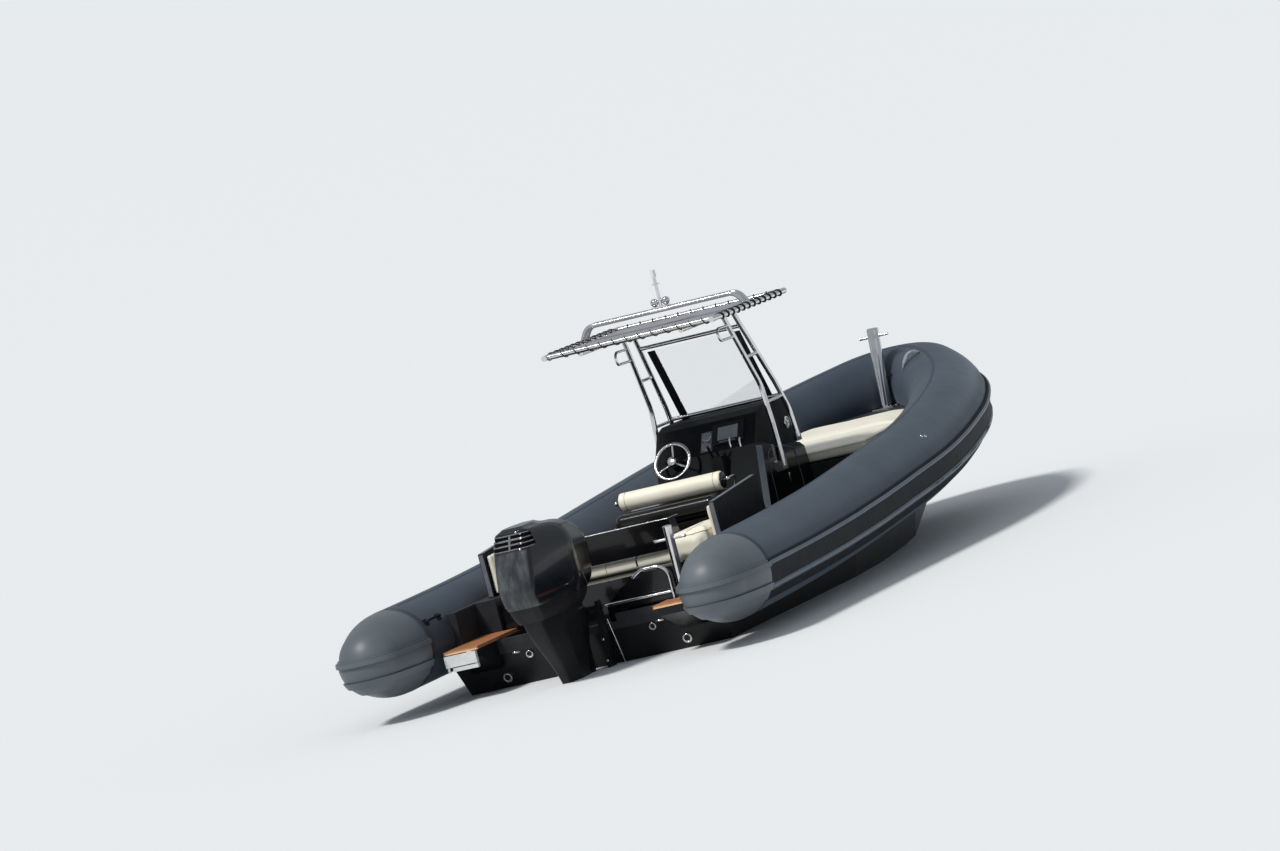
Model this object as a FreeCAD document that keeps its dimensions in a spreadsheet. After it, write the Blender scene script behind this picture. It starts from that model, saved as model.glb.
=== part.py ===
# Rigid inflatable boat with a canopy frame over a centre console and one outboard engine.
# X points forward, Y to port and Z up. The origin is on the centreline, at the
# transom's aft face and at the waterline. All sizes are in millimetres and degrees.

import FreeCAD, Part
import math
import os

V = FreeCAD.Vector
X_AXIS = V(1, 0, 0)
Y_AXIS = V(0, 1, 0)
Z_AXIS = V(0, 0, 1)
ORIGIN = V(0, 0, 0)

doc = FreeCAD.newDocument("inflatable_boat")

# Driving sizes, each written once: name, value, what it is
SIZES = [
    # General clearances
    ("seat_gap", 0.3, "air left between pieces that rest on each other"),
    ("run_gap", 8, "air left round pieces that move"),
    # Hull
    ("keel_depth", 450, "keel below the waterline at the transom"),
    ("chine_inset", 310, "tube's centre to the chine, aft"),
    ("chine_depth", 60, "chine below the waterline at the transom"),
    ("sheer_inset", 210, "tube's centre to the line where hull side and tube meet"),
    ("sheer_height", 300, "height of that line above the waterline aft"),
    ("stem_reach", 6450, "transom to the top of the stem"),
    ("transom_rake", 12, "lean of the transom, its top aft"),
    ("transom_wall", 60, "thickness of the transom"),
    ("transom_top", 345, "top of the transom above the waterline"),
    ("engine_notch_half", 230, "half-width of the cut-out for the engine"),
    ("engine_notch_top", 290, "bottom of that cut-out above the waterline"),
    ("sole_height", 240, "underside of the cockpit floor"),
    ("sole_thick", 26, "thickness of the cockpit floor"),
    ("well_inset", 510, "tube's centre to the side of the cockpit"),
    ("side_deck_height", 600, "top of the inner side walls"),
    ("bow_deck_height", 780, "top of the bow deck"),
    ("bow_deck_start", 3560, "transom to the aft face of the bow deck"),
    # Air tubes
    ("tube_radius", 300, "radius of the air tube"),
    ("tube_half_spacing", 1310, "centreline to the centre of a tube at its aft end"),
    ("tube_taper", 125, "how far the tubes close in before the bow's curve"),
    ("tube_height", 458, "centre of the tube above the waterline at its aft end"),
    ("tube_aft_reach", 400, "transom to the aft end of the straight tube"),
    ("tube_straight_end", 2902, "transom to where the tube starts to curve in"),
    ("bow_overhang", 249, "tube's centre at the bow ahead of the stem"),
    ("tube_bow_rise", 519, "how far the tube rises to the bow"),
    ("tube_end_length", 540, "length of the rounded aft end of a tube"),
    ("strake_thick", 12, "thickness of the rubbing band"),
    ("strake_ridge", 16, "height of its two ridges above the band"),
    # Stern
    ("platform_aft", 363, "aft edge of the stern platforms behind the transom"),
    ("platform_inset", 360, "tube's centre to a platform's outer edge"),
    ("platform_width", 270, "width of a platform"),
    ("platform_thick", 22, "thickness of the teak"),
    ("platform_top", 372, "top of the teak above the waterline"),
    ("port_platform_front", 350, "transom to the front of the port platform"),
    ("starboard_platform_front", -120, "transom to the front of the starboard platform"),
    ("stern_post_radius", 32, "radius of the stern mooring post"),
    ("stern_post_back", -30, "stern post behind the transom face, its place inboard of the wall"),
    ("stern_post_side", 765, "stern post to starboard of the centreline"),
    ("stern_post_top", 855, "top of that post above the waterline"),
    ("post_pin_radius", 11, "radius of the cross pins in the posts"),
    ("post_pin_half", 118, "half-length of the cross pins"),
    ("rail_radius", 13, "radius of small rails and handles"),
    ("bench_aft", 400, "transom to the aft face of the stern bench"),
    ("bench_front", 1180, "transom to the front face of the stern bench"),
    ("bench_top", 545, "top of the bench moulding above the waterline"),
    ("locker_aft", 150, "transom to the aft face of the stern locker"),
    ("locker_top", 575, "top of the stern locker above the waterline"),
    ("cushion_thick", 95, "thickness of a seat cushion"),
    ("backrest_aft", 665, "transom to the upper aft edge of the stern backrest"),
    ("backrest_half", 510, "half-width of the stern backrest"),
    ("backrest_top", 860, "top of the stern backrest above the waterline"),
    ("backrest_thick", 40, "thickness of the backrest's shell"),
    ("wing_top", 742, "top of the bench's side cushions above the waterline"),
    ("coaming_aft", 550, "transom to the aft top corner of a side coaming"),
    ("coaming_front", 1400, "transom to the front of a side coaming"),
    ("coaming_top", 915, "top of a side coaming aft"),
    ("coaming_inset", 385, "tube's centre to the outer face of a side coaming"),
    ("coaming_thick", 40, "thickness of a coaming's shell"),
    # Console and seat
    ("console_aft", 2470, "transom to the console's aft face at the floor"),
    ("console_front", 3540, "transom to the console's front face"),
    ("console_half", 445, "half-width of the console's base"),
    ("console_shoulder", 1085, "top of the console's base aft"),
    ("console_pod_half", 400, "half-width of the console's upper part"),
    ("console_top", 1322, "top of the console above the waterline"),
    ("wheel_radius", 135, "radius of the steering wheel's rim"),
    ("wheel_rim", 13, "radius of the rim's section"),
    ("wheel_side", 215, "steering wheel's centre to port of the centreline"),
    ("wheel_height", 1092, "steering wheel's centre above the waterline"),
    ("wheel_reach", 2650, "transom to the steering wheel's centre"),
    ("wheel_lean", 30, "lean of the steering wheel's axis above the horizontal"),
    ("seat_centre", 1985, "transom to the middle of the leaning post"),
    ("seat_depth", 420, "depth of the leaning post"),
    ("seat_half", 400, "half-width of the leaning post"),
    ("seat_base_top", 720, "top of the leaning post's box"),
    ("seat_tub_top", 862, "top of the leaning post's rounded rim"),
    ("bolster_radius", 72, "radius of the bolster roll"),
    ("bolster_half", 408, "half-length of the bolster roll"),
    # Canopy frame
    ("frame_tube_radius", 21, "radius of the canopy frame's main tubes"),
    ("leg_tube_radius", 19, "radius of the legs"),
    ("canopy_aft", 1974, "transom to the canopy's aft tube"),
    ("canopy_front", 3310, "transom to the canopy's front tube"),
    ("canopy_half", 668, "centreline to the canopy's side tubes"),
    ("canopy_height", 2070, "centre of the canopy's tubes above the waterline"),
    ("canopy_thick", 8, "thickness of the canopy's cloth"),
    ("leg_side_top", 400, "centreline to the top of the legs"),
    ("leg_side_foot", 468, "centreline to the feet of the legs"),
    ("hoop_height", 110, "rise of the antenna hoop above the canopy's tubes"),
    ("mast_height", 270, "height of the light mast above the hoop"),
    ("glass_thick", 6, "thickness of the windscreen"),
    # Bow
    ("locker_step_back", 710, "aft face of the anchor locker step behind the stem"),
    ("locker_step_length", 590, "length of the anchor locker step"),
    ("locker_step_top", 860, "top of the anchor locker step"),
    ("bow_post_radius", 45, "radius of the bow mooring post"),
    ("bow_post_back", 135, "foot of the bow post behind the stem"),
    ("bow_post_length", 610, "length of the bow post"),
    ("bow_post_lean", 11, "forward lean of the bow post"),
    ("bow_pad_thick", 38, "thickness of the pad on the tube beside the bow post"),
    # Outboard engine
    ("tilt_axis_back", 20, "tilt axis behind the transom face"),
    ("tilt_axis_height", 420, "tilt axis above the waterline"),
    ("tilt_tube_radius", 24, "radius of the tilt tube"),
    ("steer_axis_back", 175, "steering axis behind the transom face"),
    ("clamp_half", 150, "centreline to the outer face of a clamp plate"),
    ("clamp_thick", 26, "thickness of a clamp plate"),
    ("cowl_front", 62, "front of the cowl behind the transom face"),
    ("cowl_aft", 1005, "aft face of the cowl behind the transom face"),
    ("cowl_half", 250, "half-width of the cowl"),
    ("cowl_bottom", 600, "bottom of the cowl above the waterline"),
    ("cowl_top", 1150, "top of the cowl above the waterline"),
    ("vent_plate_depth", 470, "anti-ventilation plate below the waterline"),
    ("shaft_depth", 700, "propeller shaft below the waterline"),
    ("gearcase_radius", 58, "radius of the gearcase"),
    ("propeller_radius", 203, "radius of the propeller"),
    ("propeller_back", 660, "middle of the propeller behind the transom face"),
    ("propeller_blades", 3, "number of blades"),
    ("blade_pitch", 24, "blade angle at three quarters of the radius"),
]

sheet = doc.addObject("Spreadsheet::Sheet", "sizes")
for row, (name, value, meaning) in enumerate(SIZES, start=1):
    sheet.set("A%d" % row, meaning)
    sheet.set("B%d" % row, str(value))
    sheet.setAlias("B%d" % row, name)
doc.recompute()


def size(name):
    """The value of one driving size."""
    return float(sheet.get(name))


GAP = size("seat_gap")
RUN = size("run_gap")
TUBE_R = size("tube_radius")
STEM = size("stem_reach")
BOW_REACH = STEM + size("bow_overhang")

# Places across the boat follow the air tubes
AFT_HALF = size("tube_half_spacing")
CHINE_HALF = AFT_HALF - size("chine_inset")
SHEER_HALF = AFT_HALF - size("sheer_inset")
WELL_HALF = AFT_HALF - size("well_inset")
PLATFORM_OUTER = AFT_HALF - size("platform_inset")
PLATFORM_INNER = PLATFORM_OUTER - size("platform_width")

nodes = []


def publish(obj, label):
    """Register an object of the document as a sub-part under its node name."""
    obj.Label = label
    nodes.append(obj)
    return obj


def feature(label, shape, place=None):
    """A sub-part whose form no primitive gives."""
    obj = doc.addObject("Part::Feature", label)
    obj.Shape = shape
    if place is not None:
        obj.Placement = place
    return publish(obj, label)


def bound(kind, name, **expressions):
    """A Part primitive whose properties follow expressions on the sheet."""
    obj = doc.addObject(kind, name)
    for prop, expression in expressions.items():
        obj.setExpression(prop.replace("_", "."), expression)
    return obj


# Small geometry helpers

def polygon_face(points):
    """A flat face inside a closed outline."""
    return Part.Face(Part.makePolygon(list(points) + [points[0]]))


def side_prism(outline, half_width, middle=0.0):
    """An outline of (x, z) points, extruded in Y about the middle."""
    face = polygon_face([V(x, middle - half_width, z) for x, z in outline])
    return face.extrude(V(0, 2 * half_width, 0))


def plan_prism(outline, bottom, top):
    """An outline of (x, y) points, extruded from bottom to top."""
    face = polygon_face([V(x, y, bottom) for x, y in outline])
    return face.extrude(V(0, 0, top - bottom))


def block(x0, x1, y0, y1, z0, z1):
    """A box between two corners."""
    return Part.makeBox(x1 - x0, y1 - y0, z1 - z0, V(x0, y0, z0))


def rounded_block(x0, x1, y0, y1, z0, z1, radius):
    """A box with every edge rounded."""
    box = block(x0, x1, y0, y1, z0, z1)
    return box.makeFillet(radius, box.Edges)


def rounded_outline(z, corners):
    """A closed outline in plan with every corner rounded; each corner is (x, y, radius)."""
    arcs = []
    count = len(corners)
    for index, (x, y, radius) in enumerate(corners):
        here = V(x, y, z)
        behind, ahead = corners[index - 1], corners[(index + 1) % count]
        to_behind = (V(behind[0], behind[1], z) - here).normalize()
        to_ahead = (V(ahead[0], ahead[1], z) - here).normalize()
        half_angle = to_behind.getAngle(to_ahead) / 2
        reach = radius / math.tan(half_angle)
        inward = (to_behind + to_ahead).normalize()
        middle = here + inward * (radius / math.sin(half_angle) - radius)
        arcs.append((here + to_behind * reach, middle, here + to_ahead * reach))
    edges = []
    for index, (first, middle, last) in enumerate(arcs):
        following = arcs[(index + 1) % count][0]
        edges.append(Part.Arc(first, middle, last).toShape())
        edges.append(Part.LineSegment(last, following).toShape())
    return Part.Wire(edges)


def smooth_path(points, radius=None, share=0.48):
    """A wire of straight runs joined by tangent arcs, one arc at each inner point."""
    edges = []
    start = points[0]
    for before, corner, after in zip(points, points[1:], points[2:]):
        run_in = corner - before
        run_out = after - corner
        into = V(run_in).normalize()
        out = V(run_out).normalize()
        half_turn = into.getAngle(out) / 2
        if half_turn < 1e-4:
            continue
        reach = share * min(run_in.Length, run_out.Length)
        if radius is not None:
            reach = min(reach, radius * math.tan(half_turn))
        bend = reach / math.tan(half_turn)
        inward = (out - into).normalize()
        first = corner - into * reach
        last = corner + out * reach
        middle = corner + inward * (bend / math.cos(half_turn) - bend)
        if (first - start).Length > 1e-6:
            edges.append(Part.LineSegment(start, first).toShape())
        edges.append(Part.Arc(first, middle, last).toShape())
        start = last
    edges.append(Part.LineSegment(start, points[-1]).toShape())
    return Part.Wire(edges)


def pipe(points, radius, bend=None, share=0.48):
    """A round bar along a path."""
    path = smooth_path(points, bend, share)
    ring = Part.Wire(Part.makeCircle(radius, points[0], points[1] - points[0]))
    return path.makePipeShell([ring], True, False)


def bar(start, end, radius):
    """A straight round bar between two points."""
    return Part.makeCylinder(radius, (end - start).Length, start, end - start)


def mirrored(shape):
    """The same shape on the other side of the centreline."""
    return shape.mirror(ORIGIN, Y_AXIS)


def joined(shapes):
    """One solid from shapes that overlap."""
    whole = shapes[0].fuse(shapes[1:])
    return whole.removeSplitter()


def apart(shapes):
    """Several solids of one node that don't touch."""
    solids = [solid for shape in shapes for solid in shape.Solids]
    return Part.makeCompound(solids)


def biggest(shape):
    """The main solid that a cut leaves."""
    return max(shape.Solids, key=lambda solid: solid.Volume)


# Air tube: a circle swept along a path that curves in and rises to the bow.
# The path's corners are shares of the curved length and of the half-spacing.

BOW_CORNERS = [
    # share of length, share of half-spacing
    (0.236, 1.000),
    (0.600, 0.789),
    (0.828, 0.527),
    (1.000, 0.167),
]


def tube_rise(x):
    """Height of the tube's centre at a distance from the transom."""
    aft = -size("tube_aft_reach")
    share = max(0.0, (x - aft) / (BOW_REACH - aft))
    return size("tube_height") + size("tube_bow_rise") * share ** 2


def tube_side(outward=0.0, upward=0.0):
    """Corners of the port half of the tube's path, set out by a distance."""
    straight_end = size("tube_straight_end")
    curved = BOW_REACH - straight_end
    fore_half = AFT_HALF - size("tube_taper")
    aft = -size("tube_aft_reach")
    taper_end = straight_end + BOW_CORNERS[0][0] * curved
    slope = size("tube_taper") / (taper_end - aft)
    stations = [aft + share * (straight_end - aft) for share in (0.0, 0.35, 0.68)]
    plan = [(x, AFT_HALF - slope * (x - aft)) for x in stations]
    for along, across in BOW_CORNERS:
        plan.append((straight_end + along * curved, across * fore_half))
    plan.append((BOW_REACH, 0.0))
    moved = []
    for index, (x, y) in enumerate(plan):
        before = plan[index - 1] if index > 0 else None
        after = plan[index + 1] if index + 1 < len(plan) else None
        normals = []
        if before:
            normals.append(outward_normal(before, (x, y)))
        if after:
            normals.append(outward_normal((x, y), after))
        push = miter(normals)
        moved.append(V(x + push[0] * outward, y + push[1] * outward, tube_rise(x) + upward))
    return moved


def outward_normal(first, second):
    """Unit normal on the outboard side of a run that goes forward on the port side."""
    dx = second[0] - first[0]
    dy = second[1] - first[1]
    length = math.hypot(dx, dy)
    return (-dy / length, dx / length)


def miter(normals):
    """The push that moves a corner out by one unit from both of its runs."""
    if len(normals) == 1:
        return normals[0]
    (ax, ay), (bx, by) = normals
    cosine = ax * bx + ay * by
    return ((ax + bx) / (1 + cosine), (ay + by) / (1 + cosine))


def collar_path(outward=0.0, upward=0.0):
    """Corners of the whole path, port stern to starboard stern."""
    port = tube_side(outward, upward)
    starboard = [V(p.x, -p.y, p.z) for p in reversed(port[:-1])]
    return port[:-1] + starboard


def collar(radius, outward=0.0, upward=0.0):
    """The swept tube, also used with a larger radius to trim what rests on it."""
    points = collar_path(outward, upward)
    path = smooth_path(points, None, 0.499)
    ring = Part.Wire(Part.makeCircle(radius, points[0], points[1] - points[0]))
    return path.makePipeShell([ring], True, False)


tube_shape = collar(TUBE_R)
tube_trim = collar(TUBE_R + GAP)
feature("tube_collar", tube_shape)


# Rubbing band with two ridges round the outside of the tube.
# Each row is an angle above the horizontal and a share of the ridge's height.

BAND_ROWS = [
    (11, 0.0), (8, 0.5), (5, 1.0), (2, 0.0), (-20, 0.0),
    (-23, 1.0), (-27, 1.0), (-30, 0.0), (-44, 0.0),
]


def tube_end(extra):
    """The rounded aft end on its own axis, grown by a thickness."""
    length = size("tube_end_length") + extra
    radius = TUBE_R + extra
    shoulder_x = -0.62 * length
    shoulder_r = 0.80 * radius
    # The nose is part of a sphere through the shoulder and the tip
    drop = length + shoulder_x
    nose_r = (drop ** 2 + shoulder_r ** 2) / (2 * drop)
    turn = math.atan2(shoulder_r, shoulder_x + length - nose_r) / 2 + math.pi / 2
    half_way = V(-length + nose_r + nose_r * math.cos(turn), 0, nose_r * math.sin(turn))
    shoulder = V(shoulder_x, 0, shoulder_r)
    tip = V(-length, 0, 0)
    flank = Part.Arc(V(0, 0, radius), V(shoulder_x / 2, 0, 0.955 * radius), shoulder)
    nose = Part.Arc(shoulder, half_way, tip)
    axis = Part.LineSegment(tip, ORIGIN)
    base = Part.LineSegment(ORIGIN, V(0, 0, radius))
    outline = Part.Face(Part.Wire([e.toShape() for e in (flank, nose, axis, base)]))
    return outline.revolve(ORIGIN, X_AXIS, 360)


def end_layer(extra, top_angle, low_angle):
    """A slice of the grown end between two of the band's angles."""
    top = TUBE_R * math.sin(math.radians(top_angle))
    low = TUBE_R * math.sin(math.radians(low_angle))
    reach = 2 * size("tube_end_length")
    return tube_end(extra).common(block(-reach, 0, -reach, reach, low, top))


# The band and its ridges go on round the ends
band_top, band_low = BAND_ROWS[0][0], BAND_ROWS[-1][0]
ridge_out = size("strake_thick") + size("strake_ridge")
end_cap = joined([
    tube_end(0),
    end_layer(size("strake_thick"), band_top, band_low),
    end_layer(ridge_out, BAND_ROWS[1][0], BAND_ROWS[3][0]),
    end_layer(ridge_out, BAND_ROWS[4][0], BAND_ROWS[7][0])])
first_run = tube_side()[1] - tube_side()[0]
end_turn = math.degrees(math.atan2(first_run.y, first_run.x))
end_rise = math.degrees(math.asin(first_run.z / first_run.Length))
end_seat = tube_side()[0] - V(first_run).normalize() * GAP
port_end = end_cap.rotated(ORIGIN, Y_AXIS, -end_rise).rotated(ORIGIN, Z_AXIS, end_turn).translated(end_seat)
feature("tube_ends", apart([port_end, mirrored(port_end)]))


def band_profile(start):
    """Closed outline of the band, square to the path at the port stern."""
    inner = TUBE_R - 2
    thick = size("strake_thick")
    ridge = size("strake_ridge")

    side = V(-math.sin(math.radians(end_turn)), math.cos(math.radians(end_turn)), 0)

    def at(angle, radius):
        turn = math.radians(angle)
        return start + side * (radius * math.cos(turn)) + Z_AXIS * (radius * math.sin(turn))

    outer = [at(angle, TUBE_R + thick + ridge * share) for angle, share in BAND_ROWS]
    top, low = BAND_ROWS[0][0], BAND_ROWS[-1][0]
    outline = [at(top, inner)] + outer + [at(low, inner)]
    edges = [Part.LineSegment(a, b).toShape() for a, b in zip(outline, outline[1:])]
    back = Part.Arc(at(low, inner), at((low + top) / 2, inner), at(top, inner))
    edges.append(back.toShape())
    return Part.Wire(edges)


def band():
    """The band on both sides, from a sweep of the port half."""
    points = tube_side()
    beyond = V(points[-1].x, -points[-2].y, points[-1].z)
    path = smooth_path(points[:-1] + [beyond], None, 0.499)
    shell = Part.BRepOffsetAPI.MakePipeShell(path)
    shell.setBiNormalMode(Z_AXIS)
    shell.add(band_profile(points[0]))
    shell.build()
    shell.makeSolid()
    half = shell.shape()
    reach = BOW_REACH + 2 * TUBE_R
    port_side = block(-reach, reach, 0, reach, -reach, reach)
    beyond_end = Part.makeCylinder(2 * TUBE_R, TUBE_R, points[0], points[0] - points[1])
    half = half.common(port_side).cut(tube_trim).cut(beyond_end)
    return joined([half, mirrored(half)])


feature("rubbing_band", band())

# Hull and deck mouldings: one ruled loft, split along the line where they are bonded

HULL_ROWS = [
    # share of reach, keel, chine half, rise of chine, sheer half, rise of sheer, inner half
    (0.000, -1.00, 1.00, 0, 1.00, 0, 0.91),
    (0.400, -1.00, 0.96, 15, 0.96, 10, 0.89),
    (0.660, -0.86, 0.81, 110, 0.83, 155, 0.78),
    (0.820, -0.44, 0.56, 270, 0.61, 345, 0.56),
    (0.930, 0.06, 0.30, 440, 0.35, 440, 0.325),
    (1.000, 0.80, 0.056, 580, 0.093, 460, 0.102),
]


def hull_section(row):
    """A closed section, keel to chine to sheer to inner edge, on both sides."""
    along, keel, chine, chine_z, sheer, sheer_z, inner = row
    x = along * STEM
    half = [
        (0.0, keel * size("keel_depth")),
        (chine * CHINE_HALF, chine_z - size("chine_depth")),
        (sheer * SHEER_HALF, size("sheer_height") + sheer_z),
        (inner * SHEER_HALF, size("bow_deck_height")),
    ]
    points = [V(x, y, z) for y, z in half]
    points += [V(x, -y, z) for y, z in reversed(half[1:])]
    return Part.makePolygon(points + [points[0]])


def deck_half(x):
    """Half-width of the bow deck at a distance from the transom."""
    share = x / STEM
    for first, last in zip(HULL_ROWS, HULL_ROWS[1:]):
        if first[0] <= share <= last[0]:
            part = (share - first[0]) / (last[0] - first[0])
            return (first[6] + part * (last[6] - first[6])) * SHEER_HALF
    return HULL_ROWS[-1][6] * SHEER_HALF


loft = Part.makeLoft([hull_section(row) for row in HULL_ROWS], True, True)
rake = math.tan(math.radians(size("transom_rake")))
deep = size("keel_depth") + 300
behind_transom = side_prism(
    [(-500, size("sheer_height")), (0, size("sheer_height")), (rake * (deep + 300), -deep), (-500, -deep)],
    2000)
mouldings = loft.cut(behind_transom).cut(tube_trim)

bond_line = [
    (-500, size("sole_height")), (size("bow_deck_start"), size("sole_height")),
    (0.915 * STEM, 600), (1.085 * STEM, 660), (1.085 * STEM, 2000), (-500, 2000),
]
above_bond = side_prism(bond_line, 2000)
feature("hull", mouldings.cut(above_bond))

deck = mouldings.common(above_bond)
wall = size("transom_wall")
ledge_front = size("port_platform_front") + 10
ledge_inner = PLATFORM_INNER - 20
well = WELL_HALF
cockpit = joined([
    block(ledge_front, size("bow_deck_start"), -well, well, size("sole_height") - 1, 2000),
    block(wall, ledge_front + 1, -well, ledge_inner, size("sole_height") - 1, 2000)])
above_sides = block(-500, size("bow_deck_start"), -2000, 2000, size("side_deck_height"), 2000)
under_teak = size("platform_top") - size("platform_thick")
transom_open = block(-500, wall, -PLATFORM_OUTER, PLATFORM_OUTER, size("transom_top"), 2000)
ledge_open = block(-500, ledge_front, ledge_inner - 1, PLATFORM_OUTER + 5, under_teak, 2000)
notch_half = size("engine_notch_half")
notch = block(-500, wall + 1, -notch_half, notch_half, size("engine_notch_top"), 2000)
deck = deck.cut(cockpit).cut(above_sides).cut(transom_open).cut(ledge_open).cut(notch)
feature("deck_moulding", biggest(deck))

# Cockpit floor, a plate in the well with a corner cut away round the port ledge
sole_plate = bound("Part::Box", "sole_plate",
                   Length="sizes.bow_deck_start - sizes.transom_wall - 2 * sizes.seat_gap",
                   Width="2 * (sizes.tube_half_spacing - sizes.well_inset - sizes.seat_gap)",
                   Height="sizes.sole_thick",
                   Placement_Base_x="sizes.transom_wall + sizes.seat_gap",
                   Placement_Base_y="sizes.seat_gap - sizes.tube_half_spacing + sizes.well_inset",
                   Placement_Base_z="sizes.sole_height + sizes.seat_gap")
sole_corner = bound("Part::Box", "sole_corner",
                    Length="sizes.port_platform_front + 10 + sizes.seat_gap",
                    Width="2 * sizes.tube_half_spacing",
                    Height="3 * sizes.sole_thick",
                    Placement_Base_y="sizes.tube_half_spacing - sizes.platform_inset"
                                     " - sizes.platform_width - 20 - sizes.seat_gap",
                    Placement_Base_z="sizes.sole_height - sizes.sole_thick")
sole = doc.addObject("Part::Cut", "sole")
sole.Base = sole_plate
sole.Tool = sole_corner
doc.recompute()
publish(sole, "cockpit_floor")
FLOOR_FREE = size("sole_height") + size("sole_thick") + 2 * GAP


def raked(z):
    """Distance of the transom's aft face from its top edge's plane at a height."""
    return max(0.0, rake * (size("sheer_height") - z))


# Stern platforms of teak on moulded brackets
platforms = []
brackets = []
depth = size("platform_aft")
post_room = block(-60, 100, -size("stern_post_side") - 60, -size("stern_post_side") + 60, under_teak - 10, 2000)
for sign, front in ((1, "port_platform_front"), (-1, "starboard_platform_front")):
    inner = sign * PLATFORM_INNER
    outer = sign * PLATFORM_OUTER
    low, high = min(inner, outer), max(inner, outer)
    teak = block(-depth, size(front), low, high, under_teak + GAP, size("platform_top"))
    platforms.append(teak.cut(tube_trim))
    bracket = side_prism([(-depth + 30, under_teak), (-GAP, under_teak),
                          (-GAP, under_teak - 200), (-depth + 50, under_teak - 60)],
                         (high - low) / 2 - 20, (low + high) / 2)
    brackets.append(bracket.cut(tube_trim).cut(post_room))
feature("teak_platforms", apart(platforms))
feature("platform_brackets", apart(brackets))

# Telescopic boarding ladder, folded flat under the port platform
ladder_x = -size("platform_aft") - 22
ladder_low = size("platform_top") - size("platform_thick") - 122
ladder_inner = PLATFORM_INNER + 25
ladder_outer = PLATFORM_OUTER - 25
TREADS = [
    # low and high edge above the ladder's foot, how far short it stops outboard
    (2, 29, 50),
    (36, 116, 0),
]
ladder_parts = []
for y in (ladder_inner, ladder_outer):
    ladder_parts.append(bar(V(ladder_x, y, ladder_low), V(ladder_x, y, size("platform_top") - 30), 10))
for low, high, short in TREADS:
    ladder_parts.append(block(ladder_x - 16, ladder_x + 16, ladder_inner - 12, ladder_outer + 12 - short,
                              ladder_low + low, ladder_low + high))
ladder_parts.append(block(ladder_x, -size("platform_aft") + 60, ladder_inner + 20, ladder_inner + 60,
                          size("platform_top") - 52, size("platform_top") - size("platform_thick") - GAP))
feature("boarding_ladder", biggest(joined(ladder_parts).cut(brackets[0]).cut(tube_trim)))

# Towing eyes and drain rings on the transom's aft face
EYE_SIDE, EYE_HEIGHT, EYE_HALF, EYE_REACH, EYE_ROD = 562, 240, 32, 66, 7
RINGS = [
    # side, height, radius
    (480, 207, 27),
    (700, 73, 34),
]
RING_ROD = 8
fittings = []
for sign in (1, -1):
    face = raked(EYE_HEIGHT) - GAP
    for_eye = [V(face, sign * EYE_SIDE - EYE_HALF, EYE_HEIGHT),
               V(face - EYE_REACH, sign * EYE_SIDE - EYE_HALF, EYE_HEIGHT),
               V(face - EYE_REACH, sign * EYE_SIDE + EYE_HALF, EYE_HEIGHT),
               V(face, sign * EYE_SIDE + EYE_HALF, EYE_HEIGHT)]
    fittings.append(pipe(for_eye, EYE_ROD, 30))
    for side, height, radius in RINGS:
        slope = V(-math.cos(math.atan(rake)), 0, -math.sin(math.atan(rake)))
        centre = V(raked(height), sign * side, height) + slope * GAP
        fittings.append(Part.makeCylinder(radius, 2 * RING_ROD, centre, slope))
feature("transom_fittings", apart([f.cut(mouldings) for f in fittings]))

# Stern mooring post with its cross pin, on a flange over the transom
post_x = -size("stern_post_back")
post_y = -size("stern_post_side")
post_r = size("stern_post_radius")
post_foot = size("transom_top") + GAP
pin_z = size("stern_post_top") - 85
flange = block(post_x - 42, post_x + 28, post_y - 55, post_y + 55, post_foot, post_foot + 12)
stern_post = joined([
    Part.makeCylinder(post_r, size("stern_post_top") - post_foot, V(post_x, post_y, post_foot)),
    bar(V(post_x, post_y - size("post_pin_half"), pin_z),
        V(post_x, post_y + size("post_pin_half"), pin_z), size("post_pin_radius")),
    flange])
feature("stern_post", stern_post)

# Stern locker: its top falls away towards the engine
locker_outline = [(-120, FLOOR_FREE), (-120, 395), (-250, 495), (-400, size("locker_top")),
                  (-700, size("locker_top")), (-700, FLOOR_FREE)]
locker_face = polygon_face([V(size("locker_aft"), y, z) for y, z in locker_outline])
stern_locker = locker_face.extrude(V(size("bench_aft") - GAP - size("locker_aft"), 0, 0))
feature("stern_locker", stern_locker)

# Hoop rail on the locker's aft face, with a low bar across to its outer leg
RAIL_BACK, RAIL_LOW, RAIL_HIGH, RAIL_OUTER, RAIL_INNER = 100, 405, 597, -655, -380
rail_foot = size("locker_aft") - GAP
rail_r = size("rail_radius")
hoop_rail = pipe([
    V(rail_foot, RAIL_INNER, 550), V(RAIL_BACK, RAIL_INNER, 550), V(RAIL_BACK, RAIL_INNER - 80, RAIL_HIGH),
    V(RAIL_BACK, RAIL_OUTER, RAIL_HIGH), V(RAIL_BACK, RAIL_OUTER, size("transom_top") + GAP)], rail_r, 100)
low_bar = pipe([V(RAIL_BACK, RAIL_OUTER, RAIL_LOW), V(RAIL_BACK, -130, RAIL_LOW),
                V(rail_foot, -130, RAIL_LOW)], rail_r, 28)
feature("stern_rail", joined([hoop_rail, low_bar]))

# Stern bench: moulding, cushions and backrest
bench = block(size("bench_aft"), size("bench_front"), -well + 1, well - 1, FLOOR_FREE, size("bench_top"))
front_edges = [e for e in bench.Edges
               if abs(e.CenterOfMass.x - size("bench_front")) < 1 and e.CenterOfMass.z > size("bench_top") - 1]
bench = bench.makeFillet(30, front_edges)
feature("stern_bench", bench)

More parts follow.
